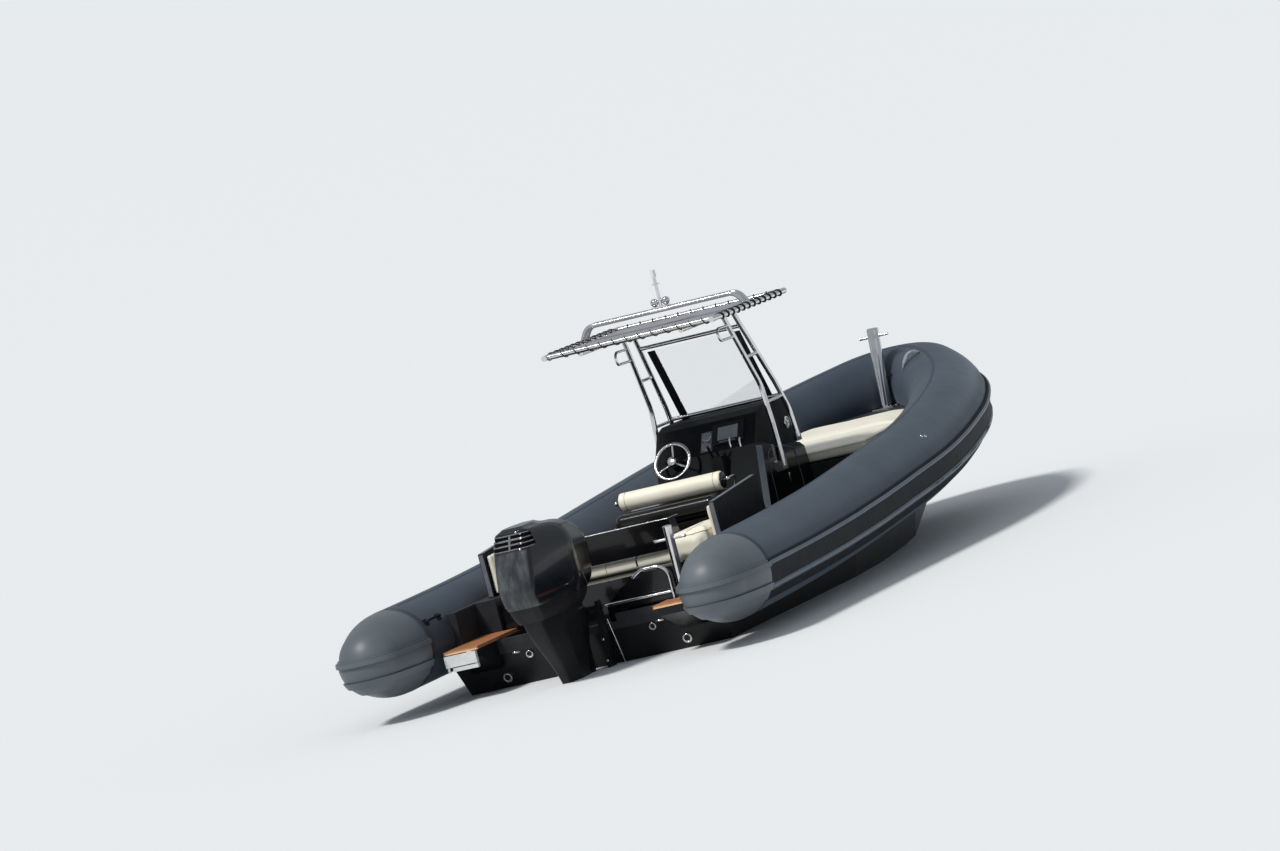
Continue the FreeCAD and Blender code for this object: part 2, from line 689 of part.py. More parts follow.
coam_outer = AFT_HALF - size("coaming_inset")
coam_thick = size("coaming_thick")
coam_low = size("side_deck_height") + GAP
back_x = size("backrest_aft")
back_half = size("backrest_half")
back_thick = size("backrest_thick")
back_lean = 50
seat_z = size("bench_top") + GAP
cushion_top = seat_z + size("cushion_thick")
shell_low = cushion_top + 4
shell_outline = [(back_x + back_lean, shell_low), (back_x, size("backrest_top")),
                 (back_x + back_thick, size("backrest_top")),
                 (back_x + back_lean + back_thick, shell_low)]
cheek_outline = [(back_x + back_lean, seat_z), (back_x, size("backrest_top")),
                 (back_x + 120, size("backrest_top")), (back_x + 190, seat_z)]
backrest = joined([side_prism(shell_outline, back_half)] +
                  [side_prism(cheek_outline, 12, sign * (back_half - 12)) for sign in (1, -1)])
feature("backrest_shell", backrest)
pad_front = back_thick + 60
pad_outline = [(back_x + back_lean + back_thick + GAP, shell_low),
               (back_x + back_thick + GAP, size("backrest_top")),
               (back_x + pad_front, size("backrest_top")),
               (back_x + back_lean + pad_front, shell_low)]
feature("backrest_pad", side_prism(pad_outline, back_half - 25))
middle = rounded_block(back_x + back_lean + 5, size("bench_front") + 20, -back_half + 25,
                       back_half - 25, seat_z, cushion_top, 20)
wing_in = back_half + 2
wing_out = coam_outer - 2 * coam_thick - 8
wing_edge = well - 4
wing_low, wing_high = coam_low, size("wing_top")
wing_outline = [(wing_in, seat_z), (wing_in, wing_high - 12), (wing_in + 14, wing_high), (wing_out - 14, wing_high + 22),
                (wing_out, wing_high + 10), (wing_out, wing_low), (wing_edge, wing_low), (wing_edge, seat_z)]
wing_aft, wing_front = size("coaming_aft") - 30, size("bench_front") - 10
wing_face = polygon_face([V(wing_aft, y, z) for y, z in wing_outline])
wing = wing_face.extrude(V(wing_front - wing_aft, 0, 0))
wings = [wing, mirrored(wing)]
feature("bench_cushions", apart([middle] + wings))

# Side coamings beside the bench: outer shells on the tubes, padded inside
coam_outline = [(size("coaming_aft") + 5, coam_low), (size("coaming_aft"), size("coaming_top")),
                (size("coaming_front"), size("coaming_top") + 57),
                (size("coaming_front") + 30, coam_low)]
pad_outline = [(size("coaming_aft") + 12, coam_low), (size("coaming_aft") + 10, size("coaming_top") - 10),
               (size("coaming_front") - 12, size("coaming_top") + 45),
               (size("coaming_front") + 18, coam_low)]
shell = side_prism(coam_outline, coam_thick / 2, coam_outer - coam_thick / 2).cut(tube_trim)
feature("coaming_shells", apart([shell, mirrored(shell)]))
pad_out = coam_outer - coam_thick - GAP
pad_in = pad_out - size("coaming_thick") - 5
pad = side_prism(pad_outline, (pad_out - pad_in) / 2, (pad_out + pad_in) / 2).cut(tube_trim)
feature("coaming_pads", apart([pad, mirrored(pad)]))

# Console: base moulding, upper pod, instruments
c_aft = size("console_aft")
c_front = size("console_front")
shoulder = size("console_shoulder")
base_outline = [(c_aft, FLOOR_FREE), (c_aft + 275, shoulder), (c_aft + 530, shoulder - 65),
                (c_front - 200, shoulder - 100), (c_front - 90, shoulder - 115),
                (c_front - 15, shoulder - 155), (c_front, shoulder - 280), (c_front, FLOOR_FREE)]
pod_outline = [(c_aft + 245, shoulder - 100), (c_aft + 290, shoulder + 15), (c_aft + 450, size("console_top") - 32),
               (c_aft + 570, size("console_top")), (c_front - 75, size("console_top")),
               (c_front - 50, size("console_top") - 160), (c_front - 25, shoulder - 160)]
console_base = side_prism(base_outline, size("console_half"))
aft_corners = [edge for edge in console_base.Edges
               if edge.CenterOfMass.x < c_aft + 200 and abs(edge.CenterOfMass.y) > size("console_half") - 1
               and edge.CenterOfMass.z > FLOOR_FREE + 100]
console_base = console_base.makeChamfer(55, aft_corners)
pod_space = side_prism(pod_outline, size("console_pod_half"))
console_pod = pod_space.cut(side_prism(base_outline, size("console_half") + 10))
console_pod = sorted(console_pod.Solids, key=lambda q: q.Volume)[-1]
feature("console_base", console_base)
feature("console_pod", console_pod.translated(V(0, 0, GAP)))


# Dash fittings: plotter screen, gauges and throttle lever
dash_low = V(c_aft + 290, 0, shoulder + 15)
dash_high = V(c_aft + 450, 0, size("console_top") - 32)
dash_run = (dash_high - dash_low).normalize()
dash_out = V(-dash_run.z, 0, dash_run.x)


def on_dash(y, up, width, height, thick):
    """A plate that lies on the dash's slope."""
    low = dash_low + dash_run * up + dash_out * (GAP * 2)
    corners = [low, low + dash_run * height, low + dash_run * height + dash_out * thick, low + dash_out * thick]
    face = polygon_face([V(p.x, y - width / 2, p.z + GAP) for p in corners])
    return face.extrude(V(0, width, 0))


GAUGES = [
    # side, distance up the dash
    (-15, 120),
    (-15, 40),
]
gauge_shapes = []
for y, up in GAUGES:
    centre = dash_low + dash_run * up + dash_out * (GAP * 2)
    gauge_shapes.append(Part.makeCylinder(34, 10, V(centre.x, y, centre.z + GAP), dash_out))
feature("dash_instruments", apart([on_dash(-185, 30, 250, 175, 14)] + gauge_shapes))

# Steering wheel: hub, three spokes and rim, on a helm shaft that turns with it
wheel_turn = math.radians(size("wheel_lean"))
wheel_axis = V(math.cos(wheel_turn), 0, -math.sin(wheel_turn))
wheel_up = V(math.sin(wheel_turn), 0, math.cos(wheel_turn))
wheel_centre = V(size("wheel_reach"), size("wheel_side"), size("wheel_height"))
rim_r = size("wheel_radius")
rim = Part.makeTorus(rim_r, size("wheel_rim"), wheel_centre, wheel_axis)
hub_back = wheel_centre + wheel_axis * 18
hub = Part.makeCylinder(34, 40, wheel_centre - wheel_axis * 14, wheel_axis)
spokes = []
for turn in (90, 210, 330):
    angle = math.radians(turn)
    out = wheel_up * math.sin(angle) + Y_AXIS * math.cos(angle)
    spokes.append(bar(hub_back, wheel_centre + out * rim_r, 8))
feature("steering_wheel", joined([rim, hub] + spokes))
helm_boss_start = wheel_centre + wheel_axis * (26 + GAP)
helm_boss = Part.makeCylinder(40, 150, helm_boss_start, wheel_axis)
helm_boss = helm_boss.cut(console_base).cut(side_prism(pod_outline, size("console_pod_half")))
helm_boss = sorted(helm_boss.Solids, key=lambda q: q.Volume)[-1]
feature("helm_boss", helm_boss)

# Throttle: box on the aft face of the base with two levers
lever_y = -120
box_at = V(c_aft + 235, lever_y, shoulder - 105)
throttle_box = block(box_at.x - 60, box_at.x + 60, lever_y - 45, lever_y + 45, box_at.z - 55, box_at.z + 75)
levers = [bar(V(box_at.x - 30, lever_y + side, box_at.z + 40), V(box_at.x - 95, lever_y + side, box_at.z + 165), 9)
          for side in (-24, 24)]
throttle = joined([throttle_box] + levers)
throttle = throttle.cut(console_base).cut(side_prism(pod_outline, size("console_pod_half")).translated(V(0, 0, GAP)))
feature("throttle", sorted(throttle.Solids, key=lambda q: q.Volume)[-1])

# Leaning post: box, rounded rim and bolster roll
seat_x = size("seat_centre")
seat_deep = size("seat_depth") / 2
seat_half = size("seat_half")
seat_box = side_prism([(seat_x - seat_deep + 40, FLOOR_FREE), (seat_x - seat_deep + 20, size("seat_base_top")),
                       (seat_x + seat_deep - 20, size("seat_base_top")), (seat_x + seat_deep - 40, FLOOR_FREE)],
                      seat_half - 25)
feature("seat_box", seat_box)
tub_low = size("seat_base_top") + GAP
seat_tub = rounded_block(seat_x - seat_deep, seat_x + seat_deep, -seat_half, seat_half,
                         tub_low, size("seat_tub_top"), 55)
feature("seat_tub", seat_tub)
roll_r = size("bolster_radius")
roll_x = seat_x + 31
roll_z = size("seat_tub_top") + GAP + roll_r
roll_half = size("bolster_half")
feature("bolster_roll", Part.makeCylinder(roll_r, 2 * roll_half, V(roll_x, -roll_half, roll_z), Y_AXIS))
knobs = []
for sign in (1, -1):
    inner = sign * (roll_half + GAP)
    stem = bar(V(roll_x, inner, roll_z), V(roll_x, inner + sign * 30, roll_z), 9)
    knobs.append(joined([stem, Part.makeSphere(17, V(roll_x, inner + sign * 34, roll_z))]))
feature("bolster_knobs", apart(knobs))

# Canopy frame: four tubes round the cloth and two rails under it
top_z = size("canopy_height")
top_r = size("frame_tube_radius")
top_half = size("canopy_half")
aft_x = size("canopy_aft")
front_x = size("canopy_front")
overhang = 45
rail_y = size("leg_side_top")
cloth_low = top_z - size("canopy_thick") / 2
rail_z = cloth_low - GAP - top_r
frame_bars = [
    bar(V(aft_x, -top_half, top_z), V(aft_x, top_half, top_z), top_r),
    bar(V(front_x, -top_half, top_z), V(front_x, top_half, top_z), top_r)]
for sign in (1, -1):
    frame_bars.append(bar(V(aft_x - overhang, sign * top_half, top_z),
                          V(front_x + overhang, sign * top_half, top_z), top_r))
    frame_bars.append(bar(V(aft_x, sign * rail_y, rail_z), V(front_x, sign * rail_y, rail_z), top_r))
canopy_frame = joined(frame_bars)
feature("canopy_frame", canopy_frame)
lacing_gap = 26 + top_r
feature("canopy_cloth", block(aft_x + lacing_gap, front_x - lacing_gap, -top_half + lacing_gap,
                              top_half - lacing_gap, cloth_low, cloth_low + size("canopy_thick")))

# Legs: two bent tubes a side with rungs, a handle and feet on the console's side
leg_r = size("leg_tube_radius")
foot_y = size("leg_side_foot")
AFT_LEG = [(2756, 0.0, None), (3029, 0.62, 1464), (3030, 0.85, 1180), (3020, 1.0, 860)]
FORE_LEG = [(2948, 0.0, None), (3292, 0.62, 1450), (3385, 0.85, 1240), (3400, 1.0, 1015)]


def leg_points(rows):
    """Points of a port leg from its rail to its foot; splay is a share."""
    points = []
    for x, splay, z in rows:
        height = rail_z if z is None else z
        points.append(V(x, rail_y + splay * (foot_y - rail_y), height))
    return points


def at_height(points, z):
    """The point of a leg at a height."""
    for high, low in zip(points, points[1:]):
        if low.z <= z <= high.z:
            return low + (high - low) * ((z - low.z) / (high.z - low.z))
    return points[-1]


aft_leg = leg_points(AFT_LEG)
fore_leg = leg_points(FORE_LEG)
rail_trim = joined([bar(V(aft_x - 60, rail_y, rail_z), V(front_x + 60, rail_y, rail_z), top_r + GAP)])
base_trim = side_prism(base_outline, size("console_half") + GAP)
pod_trim = side_prism(pod_outline, size("console_pod_half") + GAP)
leg_parts = [pipe(aft_leg, leg_r, 260), pipe(fore_leg, leg_r, 260)]
for height in (1690, 1335):
    leg_parts.append(bar(at_height(aft_leg, height), at_height(fore_leg, height), 12))
handle_top = at_height(aft_leg, 1950)
handle_low = at_height(aft_leg, 1860)
leg_parts.append(pipe([handle_top, handle_top + V(-225, 0, 5), handle_low + V(-265, 0, 5), handle_low], 10, 40))
for foot in (aft_leg[-1], fore_leg[-1]):
    leg_parts.append(block(foot.x - 45, foot.x + 45, size("console_half") + GAP, foot.y + 6,
                           foot.z - 30, foot.z + 40))
port_legs = joined(leg_parts).cut(rail_trim).cut(base_trim).cut(pod_trim)
port_legs = sorted(port_legs.Solids, key=lambda q: q.Volume)[-1]
feature("canopy_legs_port", port_legs)
feature("canopy_legs_starboard", mirrored(port_legs))

# Cross bars between the fore legs
cross = []
for height in (1915, 1345):
    at = at_height(fore_leg, height)
    cross.append(bar(V(at.x, -at.y, at.z), V(at.x, at.y, at.z), 15))
legs_trim = joined([pipe(fore_leg, leg_r + GAP, 260)])
cross_bars = [c.cut(legs_trim).cut(mirrored(legs_trim)) for c in cross]
cross_bars = [sorted(c.Solids, key=lambda q: q.Volume)[-1] for c in cross_bars]
feature("canopy_cross_bars", apart(cross_bars))

# Windscreen: a curved pane leaning aft, between the fore legs
pane_low = size("console_top") + 2 * GAP
pane_high = 1880
pane_half = 372
pane_bulge = 80
pane_thick = size("glass_thick")
low_at = at_height(fore_leg, pane_low)
high_at = at_height(fore_leg, pane_high)
pane_x = low_at.x + leg_r + 4
lean = V(high_at.x - low_at.x, 0, pane_high - pane_low)


def bow_arc(x, bulge, z):
    """An arc in plan that bulges forward between the two sides."""
    return Part.Arc(V(x, pane_half, z), V(x + bulge, 0, z), V(x, -pane_half, z)).toShape()


inner_arc = bow_arc(pane_x, pane_bulge, pane_low)
outer_arc = bow_arc(pane_x + pane_thick, pane_bulge, pane_low)
sides = [Part.LineSegment(V(pane_x, sign * pane_half, pane_low),
                          V(pane_x + pane_thick, sign * pane_half, pane_low)).toShape() for sign in (1, -1)]
pane_face = Part.Face(Part.Wire(Part.__sortEdges__([inner_arc, sides[1], outer_arc, sides[0]])))
screen = pane_face.extrude(lean)
border = 50
middle_zone = block(0, 6000, -pane_half + border, pane_half - border, 0, 3000)
side_zone = block(0, 6000, pane_half - border + GAP, pane_half + 10, 0, 3000)
feature("windscreen", screen.common(middle_zone))
screen_border = screen.common(side_zone)
feature("screen_borders", apart([screen_border, mirrored(screen_border)]))

# Antenna hoop of two tubes, with a light mast
hoop_z = top_z + size("hoop_height")
hoop_bars = []
for x in (2630, 2705):
    hoop_bars.append(pipe([V(x, top_half - 8, top_z), V(x, top_half - 72, hoop_z), V(x, -top_half + 72, hoop_z),
                           V(x, -top_half + 8, top_z)], 17, 90))
hoop_bars.append(block(2612, 2724, -70, 70, hoop_z - 4, hoop_z + 6))
side_trim = [bar(V(aft_x - 60, sign * top_half, top_z), V(front_x + 60, sign * top_half, top_z), top_r + GAP)
             for sign in (1, -1)]
hoop = joined(hoop_bars)
for tool in side_trim:
    hoop = hoop.cut(tool)
hoop = sorted(hoop.Solids, key=lambda q: q.Volume)[-1]
feature("antenna_hoop", hoop)
mast_x = 2668
mast_low = hoop_z + 17 + GAP
mast = joined([block(mast_x - 35, mast_x + 35, -60, 60, mast_low, mast_low + 8),
               Part.makeCylinder(13, size("mast_height") - 50, V(mast_x, 0, mast_low)),
               Part.makeCylinder(30, 6, V(mast_x, 0, mast_low + size("mast_height") - 105))])
feature("light_mast", mast)
lamp_low = mast_low + size("mast_height") - 50 + GAP
feature("mast_lamp", Part.makeCylinder(20, 52, V(mast_x, 0, lamp_low)))
horns = [Part.makeSphere(30, V(mast_x, sign * 45, mast_low + 8 + 30 + GAP)) for sign in (1, -1)]
feature("horns", apart(horns))

# Bow: sun pads, anchor locker step and mooring post
deck_top = size("bow_deck_height") + GAP
pad_top = deck_top + 100
step_aft = STEM - size("locker_step_back")
pads_start = size("bow_deck_start") + 6
pads_end = step_aft - 6
pads_middle = (pads_start + pads_end) / 2
PADS = [(pads_start, pads_middle - 5), (pads_middle + 5, pads_end)]
bow_pads = []
for start, end in PADS:
    outline = [(start, 4 - deck_half(start)), (end, 4 - deck_half(end)),
               (end, deck_half(end) - 4), (start, deck_half(start) - 4)]
    cushion = plan_prism(outline, deck_top, pad_top).cut(tube_trim)
    bow_pads.append(sorted(cushion.Solids, key=lambda q: q.Volume)[-1])
feature("bow_cushions", apart(bow_pads))
step_end = step_aft + size("locker_step_length")
outline =[(step_aft, -deck_half(step_aft)), (step_end, -deck_half(step_end)),
           (step_end, deck_half(step_end)), (step_aft, deck_half(step_aft))]
step = plan_prism(outline, deck_top, size("locker_step_top")).cut(tube_trim)
feature("anchor_locker", sorted(step.Solids, key=lambda q: q.Volume)[-1])
foot_x = STEM - size("bow_post_back")
foot_z = size("locker_step_top") + GAP
post_lean = math.radians(size("bow_post_lean"))
post_dir = V(math.sin(post_lean), 0, math.cos(post_lean))
post_start = V(foot_x, 0, foot_z)
post_end = post_start + post_dir * size("bow_post_length")
pin_at = post_start + post_dir * (size("bow_post_length") - 60)
bow_post = joined([
    bar(post_start - post_dir * 30, post_end, size("bow_post_radius")),
    bar(pin_at - Y_AXIS * size("post_pin_half"), pin_at + Y_AXIS * size("post_pin_half"), size("post_pin_radius")),
    block(foot_x - 90, foot_x + 85, -85, 85, foot_z, foot_z + 10)])
bow_post = bow_post.cut(block(foot_x - 300, foot_x + 300, -300, 300, foot_z - 200, foot_z))
feature("bow_post", bow_post.cut(tube_trim))

# Oval pad on the tube's inner face to starboard of the post, its outline cut square to its middle
pad_facing = V(-0.912, -0.405, 0.062)
pad_middle = V(STEM - 140, -315, 1055)
oval = Part.Ellipse(ORIGIN, 187, 115)
pad_cutter = Part.Face(Part.Wire([oval.toShape()])).extrude(V(0, 0, 400))
pad_cutter.rotate(ORIGIN, Z_AXIS, 90)
pad_turn = FreeCAD.Rotation(Y_AXIS.cross(pad_facing), Z_AXIS, pad_facing, "ZYX")
pad_cutter.Placement = FreeCAD.Placement(pad_middle - pad_facing * 300, pad_turn).multiply(pad_cutter.Placement)
grown = collar(TUBE_R + size("bow_pad_thick"))
oval_pad = pad_cutter.common(grown).cut(tube_trim)
feature("bow_pad", biggest(oval_pad))

# Outboard engine. The clamp is fixed; the swivel tilts; the rest steers.
tilt_x = -size("tilt_axis_back")
tilt_z = size("tilt_axis_height")
steer_x = -size("steer_axis_back")
clamp_half = size("clamp_half")
notch_z = size("engine_notch_top")
tilt_r = size("tilt_tube_radius")
clamp_outline = [(-GAP, -120), (-95, -150), (-110, 60), (tilt_x - 52, tilt_z - 20), (tilt_x - 30, tilt_z + 48),
                 (tilt_x + 34, tilt_z + 48), (wall + 36, notch_z + 70), (wall + 36, notch_z - 90),
                 (wall + GAP, notch_z - 90), (wall + GAP, notch_z + GAP), (-GAP, notch_z + GAP)]
clamp_low = V(raked(-120) - GAP, 0, -120)
clamp_outline[0] = (clamp_low.x, -120)
plates = []
for sign in (1, -1):
    plate = side_prism(clamp_outline, size("clamp_thick") / 2, sign * (clamp_half - size("clamp_thick") / 2))
    plate = plate.cut(Part.makeCylinder(tilt_r - 6 + 0.05, 2 * clamp_half, V(tilt_x, -clamp_half, tilt_z), Y_AXIS))
    plates.append(plate.cut(mouldings).cut(block(-1, 400, -300, 300, notch_z - 300, notch_z)
                                           .cut(block(wall + GAP, 400, -300, 300, notch_z - 90, notch_z + 1))))
feature("engine_clamp", apart(plates))
inner_half = clamp_half - size("clamp_thick") - 1
tilt_pin = Part.makeCylinder(tilt_r - 6, 2 * (clamp_half + 12), V(tilt_x, -clamp_half - 12, tilt_z), Y_AXIS)
swivel_tube = Part.makeCylinder(tilt_r, 2 * inner_half, V(tilt_x, -inner_half, tilt_z), Y_AXIS)
swivel_web = side_prism([(tilt_x, tilt_z - 20), (tilt_x - 40, tilt_z + 30), (steer_x - 30, tilt_z + 20),
                         (steer_x - 30, -60), (steer_x + 30, -60), (steer_x + 45, 200)], 48)
swivel = joined([tilt_pin, swivel_tube, swivel_web])
king_r = 22
king_bore = Part.makeCylinder(king_r + 0.05, 1200, V(steer_x, 0, -400))
swivel = swivel.cut(king_bore)
feature("swivel_bracket", swivel)

king_low, king_high = -110, tilt_z + 68
king_pin = Part.makeCylinder(king_r, king_high - king_low, V(steer_x, 0, king_low))
yoke_top = block(steer_x - 250, steer_x + 35, -75, 75, tilt_z + 30 + RUN, king_high)
yoke_low = block(steer_x - 170, steer_x + 35, -60, 60, king_low, -60 - RUN)
plate_z = -size("vent_plate_depth")
leg_front = -steer_x + 62
LEG_ROWS = [
    # height, front, middle, half, aft, aft half
    (king_high, leg_front, 600, 100, 890, 68),
    (380, leg_front, 560, 94, 845, 60),
    (60, leg_front, 430, 70, 600, 36),
    (-60 - RUN, leg_front, 400, 60, 545, 30),
    (plate_z, leg_front - 12, 380, 44, 510, 20),
]
leg_sections = []
for z, front, middle, half, aft, aft_half in LEG_ROWS:
    port = [(-aft, aft_half, 0.6 * aft_half), (-middle, half, half), (-front, half - 10, 14)]
    starboard = [(x, -y, radius) for x, y, radius in reversed(port)]
    leg_sections.append(rounded_outline(z, port + starboard))
drive_leg = Part.makeLoft(leg_sections, True, False)
vent_plate = plan_prism([(steer_x + 20, 0), (steer_x - 60, 85), (steer_x - 330, 135), (steer_x - 545, 110),
                         (steer_x - 545, -110), (steer_x - 330, -135), (steer_x - 60, -85)],
                        plate_z, plate_z + 12)
drive_leg = joined([drive_leg, vent_plate, king_pin, yoke_top, yoke_low])
feature("drive_leg", drive_leg)

shaft_z = -size("shaft_depth")
case_r = size("gearcase_radius")
prop_x = -size("propeller_back")
case_aft = prop_x + 45
case_front = steer_x - 10
strut = side_prism([(steer_x - 45, plate_z - GAP), (steer_x - 330, plate_z - GAP), (steer_x - 300, shaft_z),
                    (steer_x - 60, shaft_z)], 26)
skeg = side_prism([(steer_x - 90, shaft_z), (steer_x - 290, shaft_z), (steer_x - 330, shaft_z - 225),
                   (steer_x - 240, shaft_z - 235)], 8)
nose_len = 150
barrel = bar(V(case_front - nose_len, 0, shaft_z), V(case_aft, 0, shaft_z), case_r)
bullet = Part.makeCone(16, case_r, nose_len, V(case_front, 0, shaft_z), V(-1, 0, 0))
prop_shaft_r = 14
prop_shaft = bar(V(case_aft + 5, 0, shaft_z), V(case_aft - 150, 0, shaft_z), prop_shaft_r)
gearcase = joined([strut, skeg, barrel, bullet, prop_shaft])
feature("gearcase", gearcase)

# Propeller: a hub and blades lofted from root to tip
hub_r = 52
hub_front = case_aft - 4
hub_length = 120
prop_hub = Part.makeCone(hub_r, hub_r - 14, hub_length, V(hub_front, 0, shaft_z), V(-1, 0, 0))


def blade_section(radius, chord, thick):
    """A thin section of the blade at a radius, turned to its pitch."""
    pitch = math.atan(0.75 * size("propeller_radius") * math.tan(math.radians(size("blade_pitch"))) / radius)
    along = V(-math.sin(pitch), math.cos(pitch), 0)
    across = V(math.cos(pitch), math.sin(pitch), 0)
    centre = V(prop_x, 0, shaft_z + radius)
    return Part.makePolygon([centre - along * chord / 2, centre + across * thick / 2,
                             centre + along * chord / 2, centre - across * thick / 2,
                             centre - along * chord / 2])


prop_r = size("propeller_radius")
blade = Part.makeLoft([blade_section(hub_r - 16, 90, 14), blade_section(0.55 * prop_r, 165, 11),
                       blade_section(0.85 * prop_r, 150, 8), blade_section(prop_r, 60, 5)], True, True)
blades = []
count = int(size("propeller_blades"))
for number in range(count):
    blades.append(blade.rotated(V(prop_x, 0, shaft_z), X_AXIS, 360.0 * number / count))
prop_bore = bar(V(prop_x + 300, 0, shaft_z), V(prop_x - 300, 0, shaft_z), prop_shaft_r + 0.05)
feature("propeller", joined([prop_hub] + blades).cut(prop_bore))

# Cowl: lower pan and upper hood, lofted through rounded outlines


def wedge_outline(z, front, front_half, middle, half, aft, aft_half):
    """An outline that is narrow aft, widest at its middle and blunt in front."""
    port = [(-aft, aft_half, 0.45 * aft_half), (-middle, half, 1.2 * half), (-front, front_half, 0.45 * front_half)]
    starboard = [(x, -y, radius) for x, y, radius in reversed(port)]
    return rounded_outline(z, port + starboard)


cowl_low = size("cowl_bottom")
cowl_high = size("cowl_top")
cf, ca, ch = size("cowl_front"), size("cowl_aft"), size("cowl_half")
hood_height = cowl_high - cowl_low
cowl_widest = (cf + ca) / 2 - 80
pan_low = king_high + GAP
pan_high = cowl_low - GAP
PAN_ROWS = [
    # share of the pan's height, front, front half, middle, half, aft, aft half
    (0.0, cf + 100, ch - 160, cowl_widest, ch - 120, ca - 100, ch - 165),
    (0.5, cf + 68, ch - 120, cowl_widest, ch - 75, ca - 65, ch - 145),
    (1.0, cf + 55, ch - 100, cowl_widest, ch - 52, ca - 37, ch - 140),
]
pan = Part.makeLoft([wedge_outline(pan_low + share * (pan_high - pan_low), *row)
                     for share, *row in PAN_ROWS], True, False)
feature("engine_pan", pan)
HOOD_ROWS = [
    # share of the hood's height, front, front half, middle, half, aft, aft half
    (0.00, cf + 55, ch - 98, cowl_widest, ch - 50, ca - 32, ch - 140),
    (0.12, cf + 22, ch - 55, cowl_widest, ch - 15, ca, ch - 125),
    (0.36, cf, ch - 38, cowl_widest, ch, ca - 10, ch - 118),
    (0.60, cf + 10, ch - 38, cowl_widest, ch, ca - 52, ch - 118),
    (0.75, cf + 65, ch - 55, cowl_widest, ch - 12, ca - 86, ch - 119),
    (0.86, cf + 140, ch - 95, cowl_widest + 20, ch - 45, ca - 120, ch - 120),
    (0.94, cf + 265, ch - 150, cowl_widest + 90, ch - 100, ca - 146, ch - 124),
    (1.00, cf + 440, ch - 205, cowl_widest + 190, ch - 165, ca - 185, ch - 175),
]
hood = Part.makeLoft([wedge_outline(cowl_low + share * hood_height, *row)
                      for share, *row in HOOD_ROWS], True, False)
# Air slots across the upper aft face and round its corners, with a bar left in the middle
SLOT_SHARES = [0.755, 0.815, 0.875]
SLOT_HIGH = 0.036
slots = []
for share in SLOT_SHARES:
    z = cowl_low + share * hood_height
    for sign in (1, -1):
        near, far = sorted((sign * 8, sign * ch))
        slots.append(block(-ca - 100, -ca + 195, near, far, z, z + SLOT_HIGH * hood_height))
core_low = cowl_low + SLOT_SHARES[0] * hood_height - 10
core_outline = wedge_outline(core_low, cf, ch - 90, cowl_widest, ch - 60, ca - 182, ch - 165)
core = Part.Face(core_outline).extrude(Z_AXIS * 0.2 * hood_height)
for slot in slots:
    hood = hood.cut(slot.cut(core))
feature("engine_cowl", hood)


def write_parts():
    """Check every object and write one STEP file per sub-part."""
    doc.recompute()
    for obj in doc.Objects:
        bad = [state for state in obj.State if state in ("Invalid", "Error")]
        if bad:
            raise RuntimeError("object %s is %s" % (obj.Name, bad))
    os.makedirs("parts", exist_ok=True)
    for obj in nodes:
        shape = obj.Shape
        if shape.isNull() or not shape.isValid() or not shape.Solids:
            raise RuntimeError("sub-part %s has no valid solid" % obj.Label)
        shape.exportStep("parts/%s.step" % obj.Label)
    print("sub-parts:", len(nodes))


write_parts()
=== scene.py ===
# Looks of the inflatable boat: materials, upholstery, canopy cloth, lacing and small fittings.
# All places are in metres in the CAD frame: X forward, Y to port, Z up, waterline at zero.

import bmesh
import bpy
import math
from mathutils import Matrix, Vector
from mathutils.bvhtree import BVHTree


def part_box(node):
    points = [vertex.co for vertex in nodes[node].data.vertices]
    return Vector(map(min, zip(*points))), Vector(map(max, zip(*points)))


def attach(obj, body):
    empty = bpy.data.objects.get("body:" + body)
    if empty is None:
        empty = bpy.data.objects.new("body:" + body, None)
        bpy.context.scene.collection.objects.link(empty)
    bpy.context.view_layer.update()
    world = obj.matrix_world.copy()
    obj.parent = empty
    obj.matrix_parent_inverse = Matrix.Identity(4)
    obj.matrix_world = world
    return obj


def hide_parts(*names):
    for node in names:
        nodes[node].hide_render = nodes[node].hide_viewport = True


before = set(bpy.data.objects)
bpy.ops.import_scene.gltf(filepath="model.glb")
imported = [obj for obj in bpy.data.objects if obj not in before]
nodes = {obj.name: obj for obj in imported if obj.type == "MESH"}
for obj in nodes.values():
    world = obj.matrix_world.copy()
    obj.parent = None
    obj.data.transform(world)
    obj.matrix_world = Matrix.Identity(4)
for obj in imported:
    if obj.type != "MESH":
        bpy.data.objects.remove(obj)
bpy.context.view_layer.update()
scene = bpy.context.scene
X, Y, Z = Vector((1, 0, 0)), Vector((0, 1, 0)), Vector((0, 0, 1))
SIDES = ((1, "port"), (-1, "starboard"))


# Material helpers

